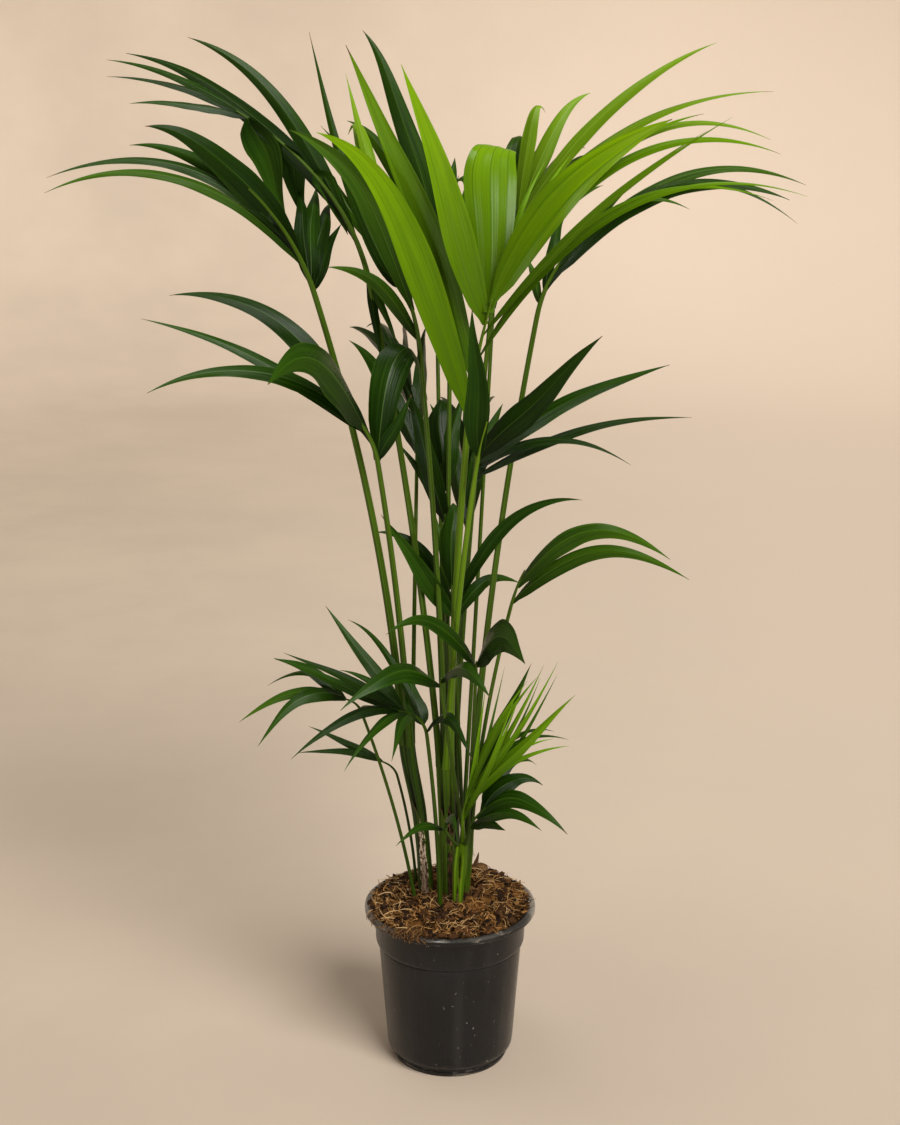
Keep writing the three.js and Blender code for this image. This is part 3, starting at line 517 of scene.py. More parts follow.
def add_node(tree, kind, inputs=None, **settings):
    """A node with its settings, its inputs set to values or joined to what other nodes give."""
    made = tree.nodes.new(kind)
    for key, value in settings.items():
        setattr(made, key, value)
    for key, value in (inputs or {}).items():
        plug(tree, made.inputs[key], value)
    return made


class Finish:
    """A material under construction. Its colour starts as one tone and is covered layer by layer. Its
    noises follow the object's own place, or what is stored at each point under a guide's name."""

    def __init__(self, name, colour, guide=None):
        self.material = bpy.data.materials.new(name)
        self.material.use_nodes = True
        self.tree = self.material.node_tree
        self.tree.nodes.clear()
        self.shader = self.node("ShaderNodeBsdfPrincipled")
        self.node("ShaderNodeOutputMaterial", {"Surface": self.shader.outputs["BSDF"]})
        self.colour = colour
        self.place = self.stored(guide) if guide else self.node("ShaderNodeTexCoord").outputs["Object"]

    def node(self, kind, inputs=None, **settings):
        return add_node(self.tree, kind, inputs, **settings)

    def maths(self, operation, first, second=0.0, third=0.0):
        return self.node("ShaderNodeMath", {0: first, 1: second, 2: third}, operation=operation).outputs[0]

    def times(self, first, second):
        return self.maths("MULTIPLY", first, second)

    def plus(self, first, second):
        return self.maths("ADD", first, second)

    def ramp(self, value, low, high, start=0.0, end=1.0):
        """Runs smoothly from start to end while the value goes from low to high."""
        limits = {"Value": value, "From Min": low, "From Max": high, "To Min": start, "To Max": end}
        return self.node("ShaderNodeMapRange", limits, interpolation_type="SMOOTHSTEP").outputs["Result"]

    def mix(self, share, first, second):
        made = self.node("ShaderNodeMix", {0: share}, data_type="RGBA")
        for socket, value in ((made.inputs[6], first), (made.inputs[7], second)):
            plug(self.tree, socket, value if isinstance(value, bpy.types.NodeSocket) else (*value, 1))
        return made.outputs[2]

    def cover(self, colour, share, *limits):
        """Lays a colour over what is there, by a share or, where limits are given, by a value's ramp."""
        share = self.ramp(share, *limits) if limits else share
        self.colour = self.mix(share, self.colour, colour)

    def noise(self, scale, detail=2.0, roughness=0.5):
        """Noise of one scale, or stretched by a scale for each direction."""
        place = self.place
        if isinstance(scale, tuple):
            place = self.node("ShaderNodeMapping", {"Vector": place, "Scale": scale}).outputs[0]
            scale = 1.0
        inputs = {"Vector": place, "Scale": scale, "Detail": detail, "Roughness": roughness}
        return self.node("ShaderNodeTexNoise", inputs).outputs["Fac"]

    def stored(self, name, output="Vector"):
        return self.node("ShaderNodeAttribute", attribute_name=name).outputs[output]

    def parts(self, vector=None):
        return self.node("ShaderNodeSeparateXYZ", {0: self.place if vector is None else vector}).outputs

    def done(self, roughness, gloss, height=None, strength=0.0, distance=0.0):
        """The material, with the bumps of a height where one is given."""
        values = {"Base Color": self.colour, "Roughness": roughness, "Specular IOR Level": gloss}
        if height is not None:
            inputs = {"Height": height, "Strength": strength, "Distance": distance}
            values["Normal"] = self.node("ShaderNodeBump", inputs).outputs[0]
        for key, value in values.items():
            plug(self.tree, self.shader.inputs[key], value)
        return self.material


def leaf_finish(side, tone):
    """Streaks and veins run along the blade and draw together at its tip, because they follow the place
    across it and not the distance from its middle."""
    deep, light, rib = LEAF_COLOURS[side][tone]
    roughness, gloss, relief, rib_line = LEAF_SIDES[side]
    veining = YOUNG_VEINING if tone in YOUNG_TONES else 1
    shade_reach = YOUNG_SHADE_REACH if tone in YOUNG_TONES else SHADE_REACH
    line_width = PLEAT_LINE_WIDTH if tone == "young" else RIB_LINE_WIDTH
    finish = Finish(side + "_" + tone, deep, "guide")
    across = finish.parts()[1]
    share, from_fold, dryness = finish.parts(finish.stored("growth"))
    streaks = finish.noise((7, 5, 31), 3.0)
    fine = finish.noise((4, 26, 31))
    patches = finish.noise((16, 0.7, 31))
    veins = finish.noise((2.5, 11, 31), 1.0)
    finish.cover(light, streaks, 0.3, 0.7, 0.5 - 0.5 * veining, 0.5 + 0.5 * veining)
    finish.cover(light, fine, 0.45, 0.75, 0, 0.45 * veining)
    finish.cover(light, veins, 0.52, 0.62, 0, 0.55 * veining)
    finish.cover(deep, veins, 0.38, 0.46, 0.6 * veining, 0)
    finish.cover(deep, patches, 0.4, 0.75, 0, 0.35)
    shaded = tuple(0.45 * part for part in deep)
    sunny = tuple(1.45 * part for part in light)
    finish.cover(shaded, share, 0, shade_reach, 0.82, 0)
    finish.cover(sunny, share, 0.4, 1, 0, 0.45)
    finish.cover(rib, from_fold, 0.24 * line_width, line_width, rib_line, 0)
    finish.cover(rib, finish.maths("ABSOLUTE", across), 0.95, 1, 0, 0.35)
    withered = finish.plus(share, finish.times(dryness, 0.05))
    withered = finish.plus(withered, finish.times(patches, 0.03))
    finish.cover((0.15, 0.075, 0.03), withered, 1.022, 1.04, 0, 0.9)
    rough = finish.ramp(patches, 0.25, 0.75, roughness - 0.07, roughness + 0.08)
    return finish.done(rough, gloss, finish.plus(finish.times(fine, 0.5), veins), relief * veining, 0.0008)


def stalk_finish(tone):
    """A smooth green stalk, darker towards its foot."""
    low_deep, low_light, high_deep, high_light = STALK_COLOURS[tone]
    finish = Finish("stalk_" + tone, low_deep, "guide")
    height = finish.parts(finish.node("ShaderNodeTexCoord").outputs["Object"])[2]
    streaks = finish.noise((3, 9, 17), 3.0)
    specks = finish.noise((60, 22, 17))
    finish.cover(low_light, streaks, 0.3, 0.7)
    high = finish.mix(finish.ramp(streaks, 0.3, 0.7), high_deep, high_light)
    finish.cover(high, height, 0.25, 0.75)
    finish.cover((0.05, 0.042, 0.01), specks, 0.66, 0.74, 0, 0.6)
    return finish.done(finish.ramp(streaks, 0.3, 0.7, 0.32, 0.44), 0.12, streaks, 0.3, 0.0006)


def sheath_finish(tone):
    """Green leaf bases with fine lengthwise fibres, with painted shade where two of them meet. Old sheaths
    are dry and brown along their edges."""
    deep, light = SHEATH_COLOURS[tone]
    finish = Finish("sheath_" + tone, deep, "guide")
    distance = finish.parts()[0]
    share, off_middle, valley_shade = finish.parts(finish.stored("growth"))
    streaks = finish.noise((2, 12, 17), 3.0)
    fibres = finish.noise((6, 55, 17), 3.0)
    stains = finish.noise((26, 7, 17), 4.0, 0.6)
    finish.cover(light, streaks, 0.35, 0.65)
    finish.cover(deep, fibres, 0.5, 0.75, 0, 0.5)
    # Painted shade: near-black in the valleys where two leaf bases meet.
    finish.cover((0.006, 0.009, 0.002), valley_shade, 0.25, 0.85, 0, 0.85)
    edge = finish.maths("MAXIMUM", finish.ramp(share, 0.93, 1), finish.ramp(off_middle, 0.93, 1))
    dried = finish.times(edge, finish.ramp(stains, 0.35, 0.6, 0.15, 0.9))
    finish.cover((0.1, 0.058, 0.024), dried)
    low = finish.ramp(distance, -0.002, 0.016, 1, 0)
    finish.cover((0.07, 0.045, 0.014), finish.times(low, finish.ramp(stains, 0.35, 0.6, 0.2, 1)))
    rough = finish.ramp(fibres, 0.3, 0.7, 0.38, 0.52)
    return finish.done(rough, 0.12, finish.plus(fibres, streaks), 0.45, 0.001)


def papery_finish(name, dark, light, pale):
    """Old sheaths gone to dry, papery fibre, paler and more torn towards their edge."""
    finish = Finish(name, dark, "guide")
    share = finish.parts(finish.stored("growth"))[0]
    fibres = finish.noise((9, 60, 17), 3.0)
    stains = finish.noise((140, 13, 17), 4.0, 0.6)
    finish.cover(light, fibres, 0.35, 0.65)
    torn = finish.times(finish.ramp(stains, 0.47, 0.54), finish.ramp(share, 0.3, 0.65, 0.3, 1))
    finish.cover(pale, torn)
    finish.cover(dark, stains, 0.36, 0.46, 0.9, 0)
    return finish.done(0.85, 0.15, finish.plus(fibres, stains), 0.8, 0.0014)


def pot_finish():
    """Moulded black plastic, with faint upright draw marks, lighter upright bands of painted sheen, dust on
    the wall and a worn, dusty lip.
    """
    finish = Finish("black_moulded_plastic", (0.0028, 0.0032, 0.0038))
    sideways, _, height = finish.parts()
    grain = finish.noise(900.0)
    draws = finish.noise((90, 90, 2.5), 3.0)
    clouds = finish.noise(14.0, 4.0, 0.6)
    specks = finish.noise(230.0, 2.0, 0.55)
    scratches = finish.noise((40, 40, 260), 3.0, 0.6)
    painted_sheen_bands = finish.noise((26, 26, 0.8), 1.0)
    finish.cover((0.0058, 0.0063, 0.007), clouds, 0.35, 0.7)
    # Painted sheen: lighter upright bands in the colour, standing in for soft reflections down the wall.
    finish.cover((0.015, 0.0152, 0.015), painted_sheen_bands, 0.52, 0.66, 0, 0.7)
    dusty_side = finish.times(finish.ramp(sideways, -0.06, 0.07), 0.012)
    finish.cover((0.22, 0.21, 0.19), finish.plus(specks, dusty_side), 0.728, 0.76, 0, 0.7)
    lip_top = finish.ramp(height, 0.1965, 0.1992)
    worn = finish.times(finish.ramp(clouds, 0.4, 0.62, 0.35, 1), lip_top)
    finish.cover((0.1, 0.093, 0.083), finish.times(worn, 0.75))
    lip_side = finish.ramp(height, 0.1915, 0.193)
    scraped = finish.times(finish.ramp(scratches, 0.56, 0.7), lip_side)
    finish.cover((0.21, 0.19, 0.16), finish.times(scraped, 0.75))
    # Paler patches on the lip's side at its far left and right ends.
    lip_ends = finish.times(finish.ramp(finish.maths("ABSOLUTE", sideways), 0.088, 0.101), lip_side)
    pale_lip_ends = finish.times(lip_ends, finish.ramp(clouds, 0.42, 0.56, 0.15, 0.8))
    finish.cover((0.26, 0.235, 0.2), pale_lip_ends)
    foot_dust = finish.times(finish.ramp(height, 0.002, 0.024, 0.5, 0), finish.ramp(scratches, 0.5, 0.7))
    finish.cover((0.2, 0.17, 0.14), foot_dust)
    groove = finish.times(finish.ramp(height, 0.148, 0.1495), finish.ramp(height, 0.1545, 0.153))
    rough = finish.maths("MULTIPLY_ADD", groove, 0.5, finish.ramp(draws, 0.3, 0.7, 0.22, 0.32))
    return finish.done(rough, 0.36, finish.plus(grain, finish.times(draws, 0.8)), 0.1, 0.0004)


def soil_finish():
    finish = Finish("damp_potting_mix", (0.007, 0.0032, 0.001))
    patches = finish.noise(26.0, 3.0, 0.6)
    lumps = finish.noise(110.0, 5.0, 0.7)
    crumbs = finish.noise(420.0, 3.0, 0.6)
    finish.cover((0.095, 0.042, 0.011), lumps, 0.42, 0.66)
    finish.cover((0.28, 0.12, 0.032), patches, 0.48, 0.62, 0, 0.6)
    finish.cover((0.36, 0.185, 0.06), crumbs, 0.56, 0.7, 0, 0.7)
    finish.cover((0.01, 0.005, 0.002), lumps, 0.3, 0.42, 0.9, 0)
    return finish.done(0.95, 0.05, finish.plus(lumps, crumbs), 1.0, 0.004)


def litter_finish(name, dark, light):
    """One colour family of the loose fibres and chips; each piece has its own shade."""
    finish = Finish(name, dark)
    grain = finish.noise(500.0)
    finish.cover(light, finish.stored("shade", "Fac"), 0, 1)
    finish.cover(dark, grain, 0.4, 0.7, 0, 0.4)
    return finish.done(0.8, 0.12, grain, 0.3, 0.0006)


def backdrop_finish():
    """Pale plaster and floor, with painted shade that deepens its tone towards the left, as if lit from the
    right.
    """
    finish = Finish("pale_floor", (0.48, 0.4, 0.318))
    # Painted shade: the tone deepens from right to left, as if the light came from the right.
    finish.cover((0.66, 0.555, 0.455), finish.parts()[0], -1.3, 1.3)
    finish.cover((0.69, 0.57, 0.45), finish.noise(1.6, 5.0, 0.6), 0.3, 0.7, 0, 0.25)
    return finish.done(0.85, 0.1)


# ---- Pot ----


def pot_section():
    """From the underside's edge up the outside, over the lip, down the inside and across the floor."""
    inner = COLLAR_RADIUS - WALL_THICKNESS
    return [
        (DRAIN_RING_RADIUS + 15, 0),
        *step_off(FOOT_RADIUS, 0, (-2, 0), (-0.8, 0.5), (-0.4, 1.6), (-0.2, 3), (0.8, 3.8)),
        *step_off(FOOT_RADIUS, FOOT_HEIGHT, (0.9, -2), (-0.1, -1.2), (0, 2.6), (2, 3.8)),
        *step_off(WALL_FOOT_RADIUS, WALL_FOOT_HEIGHT, (-2.6, -4.2), (-0.9, -2.2), (-0.1, 0.8), (0.5, 6)),
        *step_off(WALL_TOP_RADIUS, COLLAR_FOOT_HEIGHT, (-0.5, -8), (-0.9, -3), (-1.1, -1), (-0.6, -0.2)),
        *step_off(COLLAR_RADIUS, COLLAR_FOOT_HEIGHT, (-2.9, 0.3), (-1.7, 1.5), (-1, 3.6), (-0.7, 6.5)),
        *step_off(COLLAR_RADIUS, LIP_FOOT, (-0.2, -4), (0.1, -0.6), (1.4, 0)),
        *step_off(RIM_RADIUS, LIP_FOOT, (-2.4, 0), (-0.7, 0.5), (0, 2)),
        *step_off(RIM_RADIUS, POT_HEIGHT, (0, -2.4), (-0.5, -0.8), (-1.8, 0), (-6.5, 0), (-8.2, -0.7)),
        *step_off(RIM_RADIUS, POT_HEIGHT, (-9.6, -2.4)),
        (inner, LIP_FOOT - 1),
        (inner, COLLAR_FOOT_HEIGHT + 5),
        (WALL_TOP_RADIUS - WALL_THICKNESS, COLLAR_FOOT_HEIGHT),
        (WALL_FOOT_RADIUS - WALL_THICKNESS, WALL_FOOT_HEIGHT + 2),
        (FOOT_RADIUS - WALL_THICKNESS, FLOOR_THICKNESS),
    ]


def make_pot(finish):
    """A turned shell with its drain holes cut through the base by a Boolean."""
    draft = Draft()
    draft.add_rings(turned(pot_section(), POT_SIDES))
    pot = draft.build("pot_shell", [finish], 35)
    holes = Draft()
    hole = turned([(DRAIN_HOLE_RADIUS, -6), (DRAIN_HOLE_RADIUS, 2 * FLOOR_THICKNESS)], 24)
    for turn in circle(DRAIN_HOLE_COUNT) + math.pi / DRAIN_HOLE_COUNT:
        holes.add_rings(around(hole, DRAIN_RING_RADIUS, turn))
    cutter = holes.build("drain_holes", [finish])
    cut = pot.modifiers.new("drain_holes", "BOOLEAN")
    cut.object = cutter
    cut.solver = "EXACT"
    finished(pot)
    bpy.data.objects.remove(cutter)
    attach(pot, "pot", "pot")


# ---- Potting mix ----


def soil_height(x, y):
    """The heap's height at a place, dented by the same slow waves as the frame's, with crumbs on top."""
    reach = np.minimum(np.hypot(x, y) / SOIL_RADIUS, 1)
    heap = blend(SOIL_CROWN_HEIGHT, SOIL_EDGE_HEIGHT, reach**2)
    off_mound = np.hypot(x - MOUND_PLACE[0], y - MOUND_PLACE[1]) / MOUND_SPREAD
    broad_dents = np.sin(x * 0.11 + 1) * np.cos(y * 0.13)
    small_dents = 0.6 * np.sin(x * 0.23 - y * 0.19)
    lumps = 2 * np.sin(x * 0.21 + 1.3 * np.sin(y * 0.17)) * np.sin(y * 0.24 + 1.1 * np.sin(x * 0.19) + 2)
    clods = 1.3 * np.sin(x * 0.61 + 2 * np.sin(y * 0.37)) * np.sin(y * 0.53 + 1.4 * np.sin(x * 0.29))
    crumbs = 0.7 * np.sin(x * 1.31 + 1.5 * np.sin(y * 0.83)) * np.sin(y * 1.17 + 2 * np.sin(x * 0.71))
    mound = MOUND_HEIGHT * np.exp(-(off_mound**2))
    relief = mound + SOIL_ROUGHNESS * (broad_dents + small_dents) + (lumps + clods + crumbs)
    return heap + relief * (1 - reach**6)


def make_soil(finish):
    """A shallow cake of mix: its heaped top, a side that hugs the pot's collar and a flat underside."""
    inner_wall = COLLAR_RADIUS - WALL_THICKNESS - 0.4
    side = [(inner_wall, SOIL_BED_BOTTOM), (inner_wall, LIP_FOOT), (SOIL_RADIUS, POT_HEIGHT + 0.3)]
    top = [(radius, 0) for radius in np.linspace(SOIL_RADIUS - 0.7, 0.5, SOIL_RINGS)]
    rings = turned(side + top, SOIL_SIDES)
    heaped = rings[len(side):]
    heaped[..., 2] = soil_height(heaped[..., 0], heaped[..., 1])
    draft = Draft()
    draft.add_rings(rings)
    soil = draft.build("soil_bed", [finish], 180)
    attach(soil, "potting_mix", "soil")
    return soil


def litter_tree():
    """Scatters copies of one small piece over a surface: turned every way about the upright, a little
    tilted, each of its own size and shade."""
    tree = bpy.data.node_groups.new("scatter_litter", "GeometryNodeTree")
    floats = ("Density", "Least Size", "Greatest Size", "Tilt", "Lift", "Patch Scale")
    sockets = [("Geometry", "Geometry"), ("Piece", "Object"), ("Finish", "Material")]
    sockets += [(name, "Float") for name in floats] + [("Seed", "Int")]
    for name, kind in sockets:
        tree.interface.new_socket(name, in_out="INPUT", socket_type="NodeSocket" + kind)
    tree.interface.new_socket("Geometry", in_out="OUTPUT", socket_type="NodeSocketGeometry")

    def node(kind, inputs=None, output=0, **settings):
        return add_node(tree, kind, inputs, **settings).outputs[output]

    given = add_node(tree, "NodeGroupInput").outputs
    seed = given["Seed"]
    tilt = given["Tilt"]
    patches = node("ShaderNodeTexNoise", {"Scale": given["Patch Scale"], "Detail": 2.0}, "Fac")
    thick = node("ShaderNodeMapRange", {"Value": patches, "From Min": 0.4, "From Max": 0.6, "To Max": 2.0})
    density = node("ShaderNodeMath", {0: given["Density"], 1: thick}, operation="MULTIPLY")
    spread = {"Mesh": given["Geometry"], "Density": density, "Seed": seed}
    scattered = node("GeometryNodeDistributePointsOnFaces", spread, "Points")
    tilt_back = node("ShaderNodeMath", {0: tilt, 1: -1.0}, operation="MULTIPLY")
    low_turn = node("ShaderNodeCombineXYZ", {"X": tilt_back, "Y": tilt_back, "Z": 0.0})
    high_turn = node("ShaderNodeCombineXYZ", {"X": tilt, "Y": tilt, "Z": 2 * math.pi})
    turns = {0: low_turn, 1: high_turn, "Seed": seed}
    turn = node("FunctionNodeRandomValue", turns, data_type="FLOAT_VECTOR")
    sizes = {2: given["Least Size"], 3: given["Greatest Size"], "Seed": seed}
    size = node("FunctionNodeRandomValue", sizes, 1, data_type="FLOAT")
    piece = node("GeometryNodeObjectInfo", {"Object": given["Piece"]}, "Geometry")
    lift = node("ShaderNodeCombineXYZ", {"Z": given["Lift"]})
    lifted = node("GeometryNodeSetPosition", {"Geometry": scattered, "Offset": lift})
    placed = {"Points": lifted, "Instance": piece, "Rotation": turn, "Scale": size}
    copies = node("GeometryNodeInstanceOnPoints", placed)
    shade = node("FunctionNodeRandomValue", {2: 0.0, 3: 1.0}, 1, data_type="FLOAT")
    stored = {"Geometry": copies, "Name": "shade", "Value": shade}
    shaded = node("GeometryNodeStoreNamedAttribute", stored, data_type="FLOAT", domain="INSTANCE")
    real = node("GeometryNodeRealizeInstances", {"Geometry": shaded})
    coloured = node("GeometryNodeSetMaterial", {"Geometry": real, "Material": given["Finish"]})
    add_node(tree, "NodeGroupOutput", {"Geometry": coloured})
    return tree


def set_inputs(modifier, *values):
    """Sets a Geometry Nodes modifier's inputs in their order after the geometry."""
    inputs = [item for item in modifier.node_group.interface.items_tree if item.in_out == "INPUT"]
    for item, value in zip(inputs[1:], values):
        modifier[item.identifier] = float(value) if item.socket_type == "NodeSocketFloat" else value


def litter_piece(name, kind, finish, chance):
    """One small thing to scatter, about ten millimetres long: a fibre, a flat shred, a chip or a crumb."""
    draft = Draft()
    if kind == "straw":
        s = np.linspace(0, 1, 8)
        path = np.column_stack([np.linspace(-8, 8, 8), 2.2 * np.sin(2.6 * s + 0.4), 1.2 * np.sin(3 * s)])
        tube(draft, path, np.interp(s, [0, 0.2, 0.8, 1], [0.14, 0.32, 0.28, 0.1]))
    elif kind == "fibre":
        s = np.linspace(0, 1, 10)
        loops = chance.uniform(2.5, 5, 3)
        starts = chance.uniform(0, 6, 3)
        path = np.sin(loops * s[:, None] + starts) * (2.5, 4.5, 1.6)
        path[:, 0] += np.linspace(-7, 7, 10)
        tube(draft, path, np.interp(s, [0, 0.2, 0.7, 1], [0.16, 0.4, 0.36, 0.1]))
    elif kind == "shred":
        half = np.array([0.3, 0.9, 1.2, 1, 0.7, 0.25])
        lift = chance.uniform(-0.5, 0.5, 6)
        corners = [(-half, lift), (half, lift), (half, lift - 0.35), (-half, lift - 0.35)]
        rings = [np.column_stack([np.linspace(-5, 5, 6), across, height]) for across, height in corners]
        draft.add_rings(np.stack(rings, axis=1), outward=False)
    else:
        bpy.ops.mesh.primitive_ico_sphere_add(subdivisions=1 if kind == "chip" else 2, radius=0.005)
        piece = bpy.context.active_object
        piece.name = name
        stretch = (1, 0.62, 0.34) if kind == "chip" else (1, 0.86, 0.8)
        for vertex in piece.data.vertices:
            vertex.co = [c * s * chance.uniform(0.78, 1.12) for c, s in zip(vertex.co, stretch)]
        piece.data.materials.append(finish)
        return piece
    return draft.build(name, [finish], 60)


def keep_top_only(bed):
    """Leaves only the faces that look up, well inside the collar, for the litter to lie on."""
    faces = [
        list(face.vertices)
        for face in bed.data.polygons
        if face.normal.z > 0.3 and math.hypot(face.center.x, face.center.y) < LITTER_REACH * MM
    ]
    points = [tuple(vertex.co) for vertex in bed.data.vertices]
    bed.data = bpy.data.meshes.new(bed.name)
    bed.data.from_pydata(points, [], faces)


def make_litter(soil, tree):
    """Fibres, bark and white grains on the mix, each kind scattered by the same tree."""
    for name, kind, dark, light, *sizes, lift, patch_scale, seed in LITTER:
        finish = litter_finish(name, dark, light)
        piece = litter_piece(name + "_piece", kind, finish, np.random.default_rng(seed))
        bed = soil.copy()
        bed.name = "litter_" + name
        link(bed)
        keep_top_only(bed)
        scatter = bed.modifiers.new("scatter_litter", "NODES")
        scatter.node_group = tree
        set_inputs(scatter, piece, finish, *sizes, lift * MM, patch_scale, seed)
        finished(bed)
        bpy.data.objects.remove(piece)
        attach(bed, "potting_mix")


def make_spill(finish):
    """Tangled fibres that hang over the lip at the front left."""
    chance = np.random.default_rng(71)
    draft = Draft()
    shades = []
    for k in range(SPILL_STRANDS):
        middle = math.radians(SPILL_HEADINGS[k % len(SPILL_HEADINGS)] + chance.normal(0, 5))
        turn = middle + np.cumsum(chance.normal(0, 0.028, 7))
        stand = chance.uniform(0.2, 2.6)
        hang = chance.uniform(-1, 6)
        over = RIM_RADIUS + chance.uniform(0.3, 1.4)
        start, end = chance.uniform((84, -0.2), (93, 2.2))
        reach = [start, 95, 99, 103, over - 0.6, over + 0.4, over + end]
        height = np.array([4, 4 + stand, 3 + stand, 1.6 + stand / 2, 0.8, -2, -2 - hang]) + POT_HEIGHT
        path = np.column_stack([reach * np.cos(turn), reach * np.sin(turn), height])
        tube(draft, path + chance.normal(0, 0.5, (7, 3)) * (1, 1, 0.6), chance.uniform(0.2, 0.45))
        shades += [chance.uniform(0, 1)] * (7 * 4)
    spill = draft.build("litter_spill", [finish], 60)
    spill.data.attributes.new("shade", "FLOAT", "POINT").data.foreach_set("value", shades)
    attach(spill, "potting_mix")


def make_debris(finish):
    """A dry, pointed old sheath that stands on the mound, and a flake of bark beside it."""
    chance = np.random.default_rng(73)
    draft = Draft()
    rows, columns = 9, 7
    curl = np.linspace(-1, 1, columns)
    rings = []
    for s in np.linspace(0, 1, rows):
        half = 3.6 * (1 - s) ** 0.7 + 0.15
        middle = np.array(SPIKE_FOOT) + s * np.array([9, 2, 25]) + (1.5 * math.sin(3 * s), 0, 0)
        front = middle + np.column_stack([half * curl, -2 * (1 - curl**2) * (1 - s), np.zeros(columns)])
        rings.append(np.concatenate([front, front[::-1] + (0, 0.7, 0)]))
    rings = np.array(rings)
    tall = np.linspace(0, 0.026, rows)[:, None]
    draft.add_rings(rings, readings(rings, tall, np.linspace(-1, 1, 2 * columns)))
    for _ in range(6):
        start = np.array(SPIKE_FOOT) + (chance.uniform(2, 9), 1, chance.uniform(8, 23))
        lean = chance.uniform((-1, -2, 4), (6, 2, 11))
        tube(draft, [start, start + lean * 0.5 + (0, 0, 1), start + lean], [0.22, 0.16, 0.06])
    turns = circle(11)
    outline = chance.uniform(0.75, 1.15, 11)
    flake = []
    for rise, size in ((0, 0.8), (0.8, 1), (2.4, 0.95), (3, 0.7)):
        x, y = 9 * size * outline * np.cos(turns), 6.5 * size * outline * np.sin(turns)
        height = rise + y * 0.5 + chance.uniform(-0.3, 0.3, 11)
        flake.append(np.column_stack([x, y * 0.8, height]) + BARK_PLACE)
    shade = np.linspace(0, 1, 11)
    draft.add_rings(np.array(flake), readings(np.array(flake), *[shade] * 6))
    attach(draft.build("dry_sheath_and_bark", [finish], 40), "potting_mix")


# ---- Making stems ----


def stem_centre(stem, z_wanted):
    """The stem's middle at each height: upright below the soil, then a smooth bend to its top."""
    foot, top = np.array(stem.foot, float), np.array(stem.top, float)
    middle = (foot + top) / 2
    middle[0] = blend(middle[0], foot[0], STEM_HOLDS_UPRIGHT)
    z = np.maximum(z_wanted, foot[2])
    flat = 0
    for near, one, other in ((foot, middle, top), (middle, foot, top), (top, foot, middle)):
        share = (z - one[2]) * (z - other[2]) / ((near[2] - one[2]) * (near[2] - other[2]))
        flat = flat + share[..., None] * near[:2]
    upper = np.maximum(z - middle[2], 0)
    flat[..., 0] += stem.eases * upper**2 * (z - top[2]) / (top[2] - middle[2]) ** 2
    return np.concatenate([flat, z_wanted[..., None]], axis=-1)


def share_of_stem(stem, heights):
    return np.clip((heights - stem.foot[2]) / (stem.top[2] - stem.foot[2]), 0, 1)


def make_sheath(name, stem, finishes, chance):
    """One palm's bundle of leaf bases, lobed where the petioles stand side by side, with old sheaths round
    it. Towards the top its core gives way to the lobes; the valleys between them take painted shade."""
    foot_radius, top_radius = stem.radii
    heights = np.linspace(STEM_SUNK_TO, stem.top[2] + 1.5, STEM_ROWS)[:, None]
    turns = circle(STEM_SIDES)
    rise = share_of_stem(stem, heights)
    radii = blend(foot_radius * (STEM_FOOT_FLARE - 0.08), top_radius, smooth(0, 0.5, rise))
    parting = smooth(-0.2, 0.8, rise)
    ending = smooth(0.55, 1, rise)
    thick = blend(radii * 0.52, 3.9, parting)
    spread = blend(radii * 0.44, BUNDLE_RADIUS, parting)
    reach = radii * blend(0.66, 0.45, parting) * (1 - 0.6 * ending) + 0 * turns
    for frond in FRONDS.values():
        if frond.start == name:
            lobe = blend(thick, 1.25 * frond.girth[0], ending)
            off = turns - math.radians(frond.side)
            inside = lobe**2 - (spread * np.sin(off)) ** 2
            bump = spread * np.cos(off) + np.sqrt(np.clip(inside, 0, None))
            reach = np.maximum(reach, np.where(inside > 0, bump, 0))
    reach = (np.roll(reach, 1, axis=1) + 2 * reach + np.roll(reach, -1, axis=1)) / 4
    wobble = 1 + 0.03 * np.sin(3 * turns + heights * 0.03 + foot_radius)
    rings = around(stem_centre(stem, heights), reach * wobble, turns)
    # How deep each point lies in a valley between lobes, carried to the finish as painted shade, faded
    # towards the top.
    least = reach.min(axis=1, keepdims=True)
    valley_shade = 1 - (reach - least) / np.maximum(np.ptp(reach, axis=1, keepdims=True), 0.1)
    valley_shade = valley_shade * (1 - 0.8 * smooth(0.7, 1, rise))
    distance = (heights - stem.foot[2]) * MM
    draft = Draft()
    draft.add_rings(rings, readings(rings, distance, turns / math.pi - 1, foot_radius, 0, 0, valley_shade))
    tall = stem.top[2] - stem.foot[2]
    for k, (side, share, wrap, finish) in enumerate(SHEATHS[name]):
        add_collar(draft, stem, chance, side, tall * share, wrap, k, finish)
    attach(draft.build("sheath_" + name, finishes, 60), "stem", "stem_" + name)


